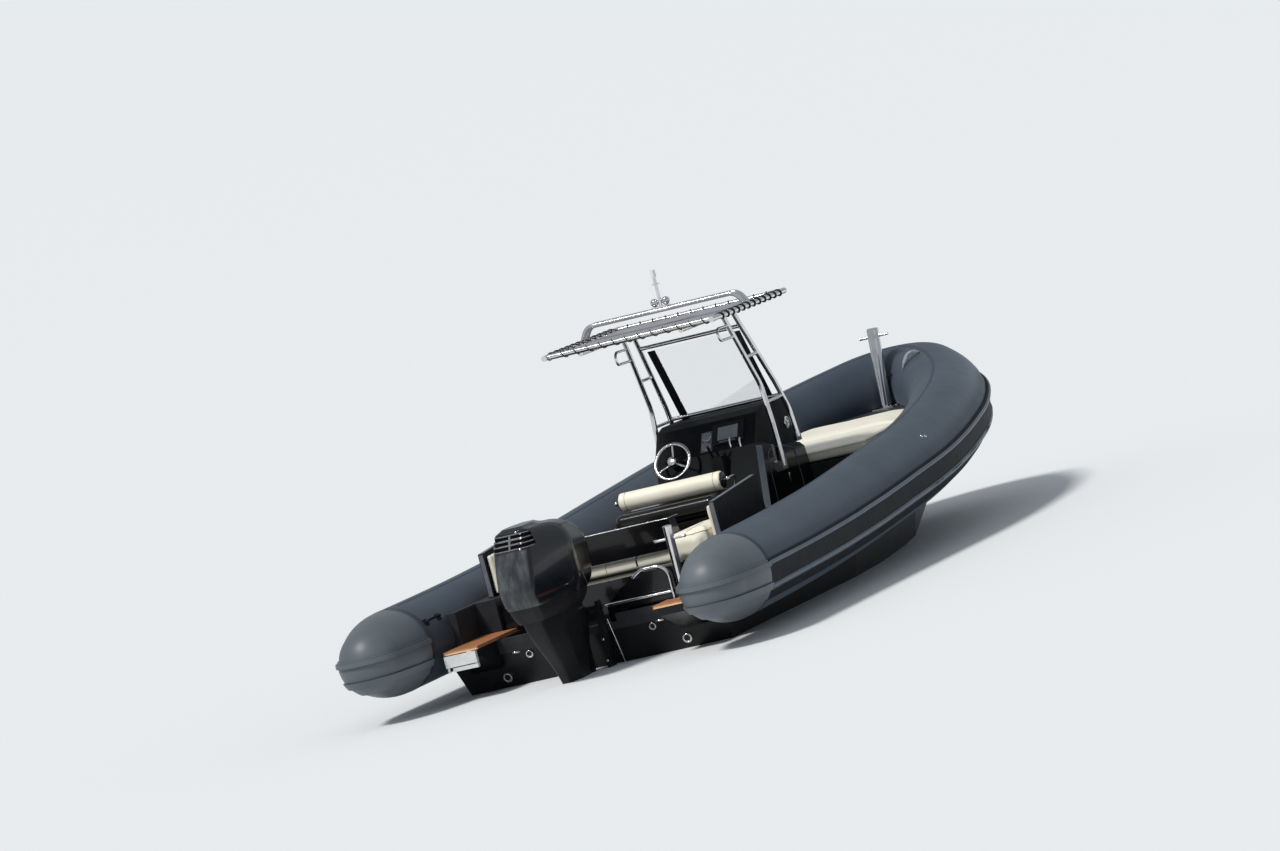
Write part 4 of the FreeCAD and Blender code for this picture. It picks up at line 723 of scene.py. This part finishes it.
def canopy_sheet():
    """A thin cloth, drawn tight between its eyelets, with a slight belly."""
    count = CLOTH_CELLS
    top, low = [], []
    for i in range(count + 1):
        for j in range(count + 1):
            s, t = i / count, j / count
            x = cloth_low.x + s * (cloth_high.x - cloth_low.x) + scallop(t, s)
            y = cloth_low.y + t * (cloth_high.y - cloth_low.y) + scallop(s, t)
            belly = CLOTH_BELLY * math.sin(math.pi * s) * math.sin(math.pi * t)
            top.append((x, y, cloth_high.z - CLOTH_TOP_DROP - belly))
            low.append((x, y, cloth_high.z - CLOTH_UNDER_DROP - belly))
    wide = count + 1
    under = len(top)
    faces = []
    for i in range(count):
        for j in range(count):
            a, b = i * wide + j, (i + 1) * wide + j
            faces.append((a, b, b + 1, a + 1))
            faces.append((a + under, a + 1 + under, b + 1 + under, b + under))
    ring = [i * wide for i in range(count)] + [count * wide + j for j in range(count)]
    ring += [i * wide + count for i in range(count, 0, -1)] + list(range(count, 0, -1))
    for a, b in zip(ring, ring[1:] + ring[:1]):
        faces.append((b, a, a + under, b + under))
    return mesh_of("canopy_sheet", top + low, faces)


canopy = add("canopy_sheet", canopy_sheet(), cloth_paint)
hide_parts("canopy_cloth")

# Camera: solved from the photograph, rolled because the real boat heels in it
YAW, PITCH, ROLL = math.radians(23.754), math.radians(-3.556), math.radians(-14.684)
FOCAL_PIXELS, PHOTO_WIDTH, PHOTO_HEIGHT = 9611.6, 1280, 851
CAMERA_AT = Vector((-60.586, -27.439, 5.695))
ahead =Vector((math.cos(PITCH) * math.cos(YAW), math.cos(PITCH) * math.sin(YAW), math.sin(PITCH)))
level_right = ahead.cross(Z).normalized()
level_up = level_right.cross(ahead)
cam_right = level_right * math.cos(ROLL) + level_up * math.sin(ROLL)
cam_up = level_up * math.cos(ROLL) - level_right * math.sin(ROLL)
camera = bpy.data.objects.new("camera", bpy.data.cameras.new("camera"))
camera.data.sensor_width = 36
camera.data.lens = FOCAL_PIXELS / PHOTO_WIDTH * camera.data.sensor_width
camera.data.clip_start = 5
camera.data.clip_end = 6000
turn = Matrix((cam_right, cam_up, -ahead)).transposed().to_4x4()
camera.matrix_world = Matrix.Translation(CAMERA_AT) @ turn
scene.collection.objects.link(camera)
scene.camera = camera

# Search trees on the CAD solids, and ways to find places on them
trees = {}
for name, node in nodes.items():
    faces = [face.vertices for face in node.data.polygons]
    trees[name] = BVHTree.FromPolygons([vert.co for vert in node.data.vertices], faces)


def seen_at(u, v, tree):
    """The point and normal of a surface under a pixel of the photograph."""
    side = (u - PHOTO_WIDTH / 2) / FOCAL_PIXELS
    rise = (PHOTO_HEIGHT / 2 - v) / FOCAL_PIXELS
    heading = (ahead + cam_right * side + cam_up * rise).normalized()
    return struck(tree, CAMERA_AT, heading)


def pixel_run(first, last, count=8):
    """Pixels of the photograph along a straight line."""
    return [Vector(first).lerp(Vector(last), step / count) for step in range(count + 1)]


def closest(hits):
    """The (point, normal) nearest to the camera, or None if nothing was hit."""
    met = [hit for hit in hits if hit[0]]
    return min(met, key=lambda hit: (hit[0] - CAMERA_AT).length) if met else None


def across(pair):
    """A (point, normal) pair on the other side of the centreline."""
    return tuple(Vector((v.x, -v.y, v.z)) for v in pair)


# Tubes: joint tape at the end caps, the long seam along the top, lifting handles
TUBE_CENTRES = [(-0.40, 1.310), (0.756, 1.276), (1.845, 1.243), (3.80, 1.185), (5.18, 0.935),
                (6.046, 0.624), (6.699, 0.198)]
TUBE_END_X, TUBE_RISE, TUBE_RUN, TUBE_AFT_Z = -0.4, 0.519, 7.099, 0.458
TUBE_RADIUS, RADIUS_SLACK = 0.300, 0.015


def tube_height(x):
    """Height of the tube's centre line, which rises towards the bow."""
    return TUBE_AFT_Z + TUBE_RISE * ((x - TUBE_END_X) / TUBE_RUN) ** 2


collar = trees["tube_collar"]
TAPE_X, TAPE_Y = -0.355, 1.309
for side, word in SIDES:
    centre = Vector((TAPE_X, side * TAPE_Y, tube_height(TAPE_X)))
    stations = []
    outs = circle(Y * side, Z, 60)
    for out in outs:
        spot, _, _, reach = collar.ray_cast(centre, out)
        if spot and abs(reach - TUBE_RADIUS) < RADIUS_SLACK:
            stations.append((centre + out * reach, out))
    ribbon("joint_tape_" + word, stations, 0.050, 0.0016, tape, closed=len(stations) == len(outs))

guide = [Vector((x, y, 0)) for x, y in TUBE_CENTRES]
guide += [Vector((v.x, -v.y, 0)) for v in reversed(guide)]
flat_route = curve_points(guide)
# Centre points of the tube seen from above, each with its outboard direction
tube_route = [(at, Z.cross(after - before).normalized())
              for before, at, after in zip(flat_route, flat_route[1:], flat_route[2:])]
SEAM_INBOARD = 0.045
stations = [struck(collar, at - out * SEAM_INBOARD + Z * 3, -Z) for at, out in tube_route]
stations = [(spot, normal) for spot, normal in stations if spot and normal.z > 0.5]
ribbon("tube_top_seam", stations, 0.026, 0.0012, tape)

# Beads along the two ridges of the rubbing band, painted lighter than the tube as a painted sheen: rays from
# outside find each ridge's crest
strip = trees["rubbing_band"]
BAND_END = -0.385
RAY_START = 0.6
CREST_DEPTH = 0.003
BEAD_SHOWS = 0.0035
for word, first_angle, last_angle, bead in (("upper", -2, 11, 0.016), ("lower", -33, -17, 0.026)):
    route = []
    for at, out in tube_route:
        heart = Vector((at.x, at.y, tube_height(at.x)))
        hits = []
        for step in range((last_angle - first_angle) * 2):
            angle = math.radians(first_angle + step / 2)
            heading = out * math.cos(angle) + Z * math.sin(angle)
            spot, _, _, reach = strip.ray_cast(heart + heading * RAY_START, -heading)
            if spot:
                hits.append((RAY_START - reach, spot - heading * (bead - BEAD_SHOWS)))
        if hits:
            crest = max(reach for reach, _ in hits)
            peaks = [place for reach, place in hits if reach > crest - CREST_DEPTH]
            route.append(sum(peaks, Vector()) / len(peaks))
    smoothed = [(a + b * 2 + c) / 4 for a, b, c in zip(route, route[1:], route[2:])]
    ends = []
    for last, inner in ((route[0], route[1]), (route[-1], route[-2])):
        ends.append(last + (last - inner) * (last.x - BAND_END) / (inner.x - last.x))
    run = ends[:1] + route[:1] + smoothed + route[-1:] + ends[1:]
    line("band_ridge_" + word, [run], bead, ridge_sheen_paint, detail=3)

HANDLE_ENDS_X, HANDLE_Y, HANDLE_Z = (-0.305, -0.105), 1.03, 0.61
HANDLE_RISE, HANDLE_BEND, HANDLE_SUNK = 0.034, 0.035, 0.004
for side, word in SIDES:
    ends = [nearest(collar, (x, side * HANDLE_Y, HANDLE_Z)) for x in HANDLE_ENDS_X]
    (first, out), (last, _) = ends
    run = (last - first).normalized()
    rise, sunk = out * HANDLE_RISE, out * HANDLE_SUNK
    grip = [first - sunk, first + rise * 0.8, first + run * HANDLE_BEND + rise,
            last - run * HANDLE_BEND + rise, last + rise * 0.8, last - sunk]
    line("lift_handle_" + word, [grip], 0.009, band, kind="NURBS", detail=5)
    for number, (spot, normal) in enumerate(ends):
        pad = [(spot + run * (0.03 * k - 0.03), normal) for k in range(3)]
        ribbon("handle_patch_%s_%d" % (word, number), pad, 0.055, 0.003, band)

eyelets = []
for u in (921.4, 925.2):
    pair = seen_at(u, 436.1, collar)
    eyelets += [pair, across(pair)]
studs("tube_eyelets", eyelets, 0.014, 0.006, steel)

# Transom: satin-black discs in the drain rings as painted shade of their bores, bolts of the clamp, the thin
# rod beside it
for side, word in SIDES:
    for number, (y, z, bore) in enumerate(((0.480, 0.207, 0.017), (0.700, 0.073, 0.022))):
        spot, normal = struck(trees["transom_fittings"], (-1, side * y, z), X)
        lathe("drain_hole_shade_%s_%d" % (word, number), [(-0.002, bore), (0.0012, bore), (0.0012, bore * 0.9)],
              spot, normal, satin, steps=24)
        first = normal.orthogonal().normalized()
        ring = [spot + out * (bore + 0.004) for out in circle(first, normal.cross(first), 24)]
        line("drain_rim_%s_%d" % (word, number), [ring], 0.004, steel, closed=True)

line("transom_rod", [[(-0.006, -0.166, 0.325), (0.046, -0.196, 0.0)]], 0.0045, steel)

CLAMP_PLATE_Y = 0.137
bolts = [struck(trees["engine_clamp"], (-1, side * CLAMP_PLATE_Y, z), X)
         for side, _ in SIDES for z in (0.05, 0.20)]
studs("clamp_bolts", bolts, 0.010, 0.008, steel)

# Stern post: collar at its foot, domed cap and bolts in its flange
POST_X, POST_Y, POST_FOOT = 0.030, -0.765, 0.357
lathe("post_collar", [(0.0, 0.046), (0.010, 0.046), (0.018, 0.040), (0.024, 0.034), (0.024, 0.031)],
      (POST_X, POST_Y, POST_FOOT), Z, steel)
lathe("post_cap", [(-0.004, 0.0335), (0.003, 0.0335), (0.007, 0.030), (0.010, 0.020), (0.011, 0.006)],
      (POST_X, POST_Y, 0.855), Z, steel)
foot = Vector((POST_X, POST_Y, POST_FOOT))
flange_bolts = [(foot + X * dx + Y * dy, Z) for dx in (-0.03, 0.018) for dy in (-0.043, 0.043)]
studs("post_flange_bolts", flange_bolts, 0.007, 0.005, steel)
for number, y in enumerate((-0.883, -0.647)):
    out = Vector((0, -1 if y < POST_Y else 1, 0))
    lathe("post_pin_end_%d" % number, [(-0.010, 0.0125), (0.0, 0.0125), (0.005, 0.010), (0.008, 0.004)],
          (POST_X - 0.005, y, 0.770), out, steel, steps=20)

# Teak platforms: pale nosing along the aft edge, screws
for side, word in SIDES:
    plate("teak_nosing_" + word, (-0.361, side * 0.815, 0.3605), Y, X, (0.262, 0.010, 0.0215), nosing_paint)
    screws = [(Vector((x, side * y, 0.372)), Z) for x in (-0.32, -0.17, -0.04) for y in (0.715, 0.915)]
    studs("teak_screws_" + word, screws, 0.006, 0.0018, steel, steps=10)

# Stern bench: strap over the middle cushion, and seams across it drawn as dark lines of painted shade
middle = next(piece for name, (piece, solid) in soft.items()
              if name.startswith("bench_cushions") and abs(sum(corner.y for corner in box_of(solid))) < 0.2)
middle_tree = surface_of(middle)


def over_cushion(y):
    """Points and normals round the middle cushion's aft face and top, in a plane across it."""
    profile = ((0.66, 0.552), (0.66, 0.60), (0.68, 0.66), (0.80, 0.66), (1.16, 0.66))
    path = [Vector((x, y, z)) for x, z in profile]
    return [nearest(middle_tree, first.lerp(last, step / 8))
            for first, last in zip(path, path[1:]) for step in range(8)]


ribbon("bench_strap", over_cushion(-0.157), 0.014, 0.002, satin)
line("bench_seam", [[spot for spot, _ in over_cushion(0.084)]], 0.0022, seam_shade_paint)
cushion_trees = [surface_of(piece) for piece, _ in soft.values()]
seam_hits = [closest([seen_at(*pixel, tree) for tree in cushion_trees])
             for pixel in pixel_run((686, 532), (703, 522))]
line("wing_seam", [[hit[0] for hit in seam_hits if hit]], 0.0022, seam_shade_paint)

# Backrest shell: bright line on its upper edge, grey edges on its end cheeks
line("backrest_edge", [[(0.668, -0.508, 0.861), (0.668, 0.508, 0.861)]], 0.0045, steel)
for side, word in SIDES:
    rail = [(Vector((x, side * 0.500, 0.860)), Z) for x in (0.670, 0.73, 0.79, 0.853)]
    ribbon("backrest_cheek_" + word, rail, 0.018, 0.002, trim_grey)

# Side coamings: grey moulded edges aft and on top
shell = trees["coaming_shells"]
for side, word in SIDES:
    middle_y = side * 0.905
    hits = [struck(shell, (0.0, middle_y, 0.606 + step * 0.038), X) for step in range(9)]
    aft_edge = [hit for hit in hits if hit[0] and hit[0].x < 0.75]
    ribbon("coaming_aft_edge_" + word, aft_edge, 0.036, 0.0022, trim_grey)
    hits = [struck(shell, (0.556 + step * 0.0455, middle_y, 2.0), -Z) for step in range(20)]
    top_edge = [hit for hit in hits if hit[0] and hit[1].z > 0.5]
    ribbon("coaming_top_edge_" + word, top_edge, 0.036, 0.0022, trim_grey)

# Seat: end plates of the bolster roll, its end seams as dark lines of painted shade, and the brackets that
# carry it
ROLL_X, ROLL_Z, ROLL_R = 2.016, 0.934, 0.072
roll_tree = surface_of(soft["bolster_roll_0"][0])
for side, word in SIDES:
    lathe("roll_end_" + word, [(0.0, 0.060), (0.005, 0.060), (0.008, 0.055), (0.009, 0.02)],
          (ROLL_X, side * 0.403, ROLL_Z), (0, side, 0), gloss)
    seam_heart = Vector((ROLL_X, side * 0.352, ROLL_Z))
    ring = [nearest(roll_tree, seam_heart + out * ROLL_R)[0] for out in circle(X, Z, 36)]
    line("roll_seam_" + word, [ring + ring[:1]], 0.0018, seam_shade_paint)
    bracket = [(ROLL_X, side * 0.440, ROLL_Z), (2.080, side * 0.450, 0.948), (2.150, side * 0.446, 0.935),
               (2.176, side * 0.425, 0.880), (2.172, side * 0.398, 0.835)]
    line("roll_bracket_" + word, [bracket], 0.0065, steel, kind="NURBS", detail=5)

# Console: chamfer strip, latches, round fitting and door outline on its starboard side
# Horizontal way into the chamfer, and the chamfer's lean forward with height
INTO_CHAMFER = Vector((0.67, 0.71, 0))
CHAMFER_LEAN = 0.3
hits = []
for step in range(14):
    z = 0.62 + step * 0.034
    on_chamfer = Vector((2.707 + (z - 0.862) * CHAMFER_LEAN, -0.421, z))
    hits.append(struck(trees["console_base"], on_chamfer - INTO_CHAMFER * 0.5, INTO_CHAMFER.normalized()))
ribbon("console_corner_strip", [hit for hit in hits if hit[0]], 0.052, 0.002, trim_grey)
plate("console_latch", (2.936, -0.4475, 0.903), X, Z, (0.060, 0.022, 0.006), steel)
plate("console_door_latch", (3.120, -0.4475, 0.760), Z, X, (0.070, 0.020, 0.006), steel)
DOOR_Y = -0.4465
door = [(2.80, 0.62), (2.80, 0.90), (2.828, 0.985), (2.90, 1.012), (2.951, 1.016), (3.169, 0.990),
        (3.30, 0.955), (3.337, 0.90), (3.337, 0.62)]
line("console_door_line", [[(x, DOOR_Y, z) for x, z in door]], 0.0025, trim_grey, kind="NURBS")
round_profile = [(-0.002, 0.044), (0.006, 0.044), (0.009, 0.040), (0.009, 0.034), (0.004, 0.030),
                 (0.004, 0.012), (0.012, 0.010), (0.013, 0.002)]
lathe("console_round_fitting", round_profile, (3.409, -0.400, 1.134), -Y, steel)

# Dash: plotter screen in its case, gauge faces on a grey panel
DASH_LOW = Vector((2.760, 0, 1.100))
DASH_RUN = Vector((0.160, 0, 0.190)).normalized()
DASH_OUT = Vector((-DASH_RUN.z, 0, DASH_RUN.x))


def on_dash(y, up, lift):
    """A place to the side, up the dash's slope and off its face."""
    return DASH_LOW + DASH_RUN * up + DASH_OUT * lift + Y * y


plate("plotter_screen", on_dash(-0.185, 0.1175, 0.0150), DASH_RUN, Y, (0.112, 0.160, 0.003), screen_paint,
      round_off=0.0012)
plate("plotter_keys", on_dash(-0.185, 0.046, 0.0150), DASH_RUN, Y, (0.012, 0.130, 0.004), trim_grey,
      round_off=0.0015)
plate("gauge_panel", on_dash(-0.015, 0.080, 0.0035), DASH_RUN, Y, (0.172, 0.092, 0.005), trim_grey,
      round_off=0.002)
bezel_profile = [(-0.004, 0.0352), (0.001, 0.0352), (0.003, 0.033), (0.003, 0.0295), (0.0008, 0.0285)]
face_profile = [(-0.002, 0.028), (0.0012, 0.028), (0.0013, 0.004), (0.0026, 0.0035)]
for number, up in enumerate((0.040, 0.120)):
    at = on_dash(-0.015, up, 0.0105)
    lathe("gauge_bezel_%d" % number, bezel_profile, at, DASH_OUT, steel)
    lathe("gauge_face_%d" % number, face_profile, at, DASH_OUT, screen_paint)
LEVER_FALL = Vector((-0.012, 0, -0.105))
tip_profile = [(-0.012, 0.005), (-0.008, 0.010), (0.0, 0.0125), (0.008, 0.010), (0.012, 0.004)]
console_trees = [trees[name] for name in ("console_base", "console_pod", "throttle")]
for number, u in enumerate((731.0, 741.0)):
    top, face = closest([seen_at(u, 438.5, tree) for tree in console_trees])
    lever = [top + face * out + LEVER_FALL * fall
             for out, fall in ((-0.004, 0), (0.022, 0), (0.040, 0.25), (0.044, 0.6), (0.034, 0.92))]
    line("control_lever_%d" % number, [lever], 0.0075, steel, kind="NURBS", detail=5)
    lathe("control_lever_tip_%d" % number, tip_profile, lever[-1], LEVER_FALL, steel, steps=20)
    studs("control_lever_root_%d" % number, [(top, face)], 0.018, 0.008, steel)

# Steering wheel: polished hub cap
WHEEL_AT, WHEEL_OUT = Vector((2.650, 0.215, 1.092)), Vector((-0.866, 0, 0.5))
hub_profile = [(0.0, 0.036), (0.012, 0.036), (0.018, 0.033), (0.021, 0.026), (0.0225, 0.012),
               (0.0225, 0.002)]
lathe("wheel_hub_cap", hub_profile, WHEEL_AT, WHEEL_OUT, steel, body="helm_wheel")

# Canopy: eyelets near the cloth's edge, and a black lacing wound from them round the frame
FRAME_AFT, FRAME_FRONT, FRAME_HALF, FRAME_Z, FRAME_R = 1.974, 3.310, 0.668, 2.070, 0.021
BEAMS = (("side", -FRAME_HALF), ("end", FRAME_FRONT), ("side", FRAME_HALF), ("end", FRAME_AFT))
HEM_INSET, HEM_DROP = 0.008, 0.004
LACE_STEP, LACE_REACH = 0.104, (FRAME_R + 0.0055) * 1.06
eyes, laces = [], {"side": [], "end": []}
hem = rim(cloth_low, cloth_high, cloth_high.z - HEM_DROP, HEM_INSET)
for start, end, (word, beam_at) in zip(hem, hem[1:], BEAMS):
    run = (end - start).normalized()
    outward = run.cross(Z).normalized()
    beam_gap = abs(beam_at - (start.y if word == "side" else start.x))
    count = max(3, round((end - start).length / LACE_STEP))
    pitch = (end - start).length / count
    cord_points = []
    for number in range(count):
        eye = start.lerp(end, (number + 0.5) / count)
        eyes.append((eye + outward * 0.004 + Z * 0.001, Z))
        heart = eye + outward * beam_gap
        heart.z = FRAME_Z
        cord_points.append(eye + outward * 0.002 + Z * 0.004)
        for turn, share in ((110, 0.08), (50, 0.20), (0, 0.32), (-60, 0.44), (-115, 0.56)):
            angle = math.radians(turn)
            ring_out = outward * math.cos(angle) + Z * math.sin(angle)
            cord_points.append(heart + ring_out * LACE_REACH + run * pitch * share)
        cord_points.append(eye + outward * 0.006 - Z * 0.006 + run * pitch * 0.75)
    laces[word].append(cord_points)
for word, cord_radius in (("side", 0.0048), ("end", 0.0034)):
    line("canopy_lacing_" + word, laces[word], cord_radius, cord_paint, kind="NURBS", detail=2)
studs("canopy_eyelets", eyes, 0.011, 0.0022, steel, steps=12)

# Bow post: broad thin flange; strap from the post to the pad on the tube
plate("bow_post_flange", (6.318, 0, 0.8675), Y, X, (0.215, 0.075, 0.014), steel, round_off=0.0065)
post_low, post_high = [struck(trees["bow_post"], (5.8, 0.004, z), X)[0] for z in (0.90, 1.44)]
post_run = post_high - post_low
lathe("bow_post_bar", [(-0.02, 0.027), (post_run.length + 0.012, 0.033), (post_run.length + 0.018, 0.028)],
      post_low + X * 0.014, post_run, steel)
strap_end, strap_normal = nearest(collar, (6.42, -0.12, 1.07))
line("bow_strap", [[(6.345, -0.030, 1.085), strap_end - strap_normal * 0.004]], 0.006, satin)

# Cowl: light-grey lines of painted highlight on the louvre's bars, its divider and the front seam,
# near-black sheets of painted shade in its slots, and bright studs
cowl = trees["engine_cowl"]
COWL_HEART = Vector((-0.62, 0, 0))
SLOTS_END = -0.822
SLOT_SHADE_DEPTH = 0.006


def cowl_row(z):
    """Points of the cowl's skin at one height round its aft end, each with its way out."""
    row = []
    for degrees in range(120, 242, 4):
        turn = math.radians(degrees)
        out = Vector((math.cos(turn), math.sin(turn), 0))
        spot, _ = struck(cowl, COWL_HEART + Z * z + out * 1.5, -out)
        if spot.x < SLOTS_END:
            row.append((spot, out))
    return row


def cowl_line(name, spots, radius):
    """A thin light-grey bar on the cowl, a painted highlight along an edge, which turns with the engine."""
    line(name, spots, radius, highlight_line_paint, body="engine_steer", detail=2)


# Heights of the solid bars below, between and above the three air slots
BAR_HEIGHTS = (1.0090, 1.0416, 1.0746, 1.1072)
bars = [cowl_row(z) for z in BAR_HEIGHTS]
cowl_line("cowl_slat_highlights", [[spot for spot, _ in row] for row in bars], 0.0036)
for number, (lower, upper) in enumerate(zip(bars, bars[1:])):
    # Near-black sheets of painted shade, sunk between the bars in each slot
    slot_shade = [((a + b) / 2 - out * SLOT_SHADE_DEPTH, out) for (a, out), (b, _) in zip(lower, upper)]
    ribbon("cowl_slot_shade_%d" % number, slot_shade, 0.0235, 0.002, slot_shade_paint, body="engine_steer")
upright = [struck(cowl, (-2.0, 0.0, z), X)[0] for z in (1.004, 1.02, 1.05, 1.075, 1.107)]
cowl_line("cowl_divider", [[spot for spot in upright if spot]], 0.0060)
studs("cowl_studs", [seen_at(515.5, 532.5, cowl), seen_at(519.8, 549.4, cowl)], 0.009, 0.005, steel,
      body="engine_steer")
seam_points = [seen_at(*pixel, cowl)[0] for pixel in pixel_run((576.6, 557.5), (587.0, 582.5))]
cowl_line("cowl_front_seam", [[spot for spot in seam_points if spot]], 0.0022)

# Stage: a pale floor at the waterline, plain soft light
floor_mat = bpy.data.materials.new("stage_floor")
floor_mat.use_nodes = True
floor_shader = floor_mat.node_tree.nodes["Principled BSDF"]
floor_shader.inputs["Base Color"].default_value = (0.74, 0.76, 0.78, 1)
floor_shader.inputs["Roughness"].default_value = 0.85
FLOOR_REACH = 3000
floor_corners = [(x * FLOOR_REACH, y * FLOOR_REACH, 0) for x, y in ((-1, -1), (1, -1), (1, 1), (-1, 1))]
floor_data = mesh_of("stage_floor", floor_corners, [(0, 1, 2, 3)], smooth=False)
floor = bpy.data.objects.new("stage_floor", floor_data)
scene.collection.objects.link(floor)
floor_data.materials.append(floor_mat)

world = bpy.data.worlds.new("studio")
scene.world = world
world.use_nodes = True
background = world.node_tree.nodes["Background"]
background.inputs["Color"].default_value = (0.86, 0.93, 1.0, 1)
background.inputs["Strength"].default_value = 0.45

sun = bpy.data.objects.new("key_light", bpy.data.lights.new("key_light", "SUN"))
sun.data.energy = 2.8
sun.data.angle = math.radians(12)
sun.data.color = (1.0, 0.97, 0.92)
sun.rotation_mode = "QUATERNION"
sun.rotation_quaternion = Vector((0.50, -0.28, -0.82)).to_track_quat("-Z", "Y")
scene.collection.objects.link(sun)

scene.view_settings.view_transform = "Standard"
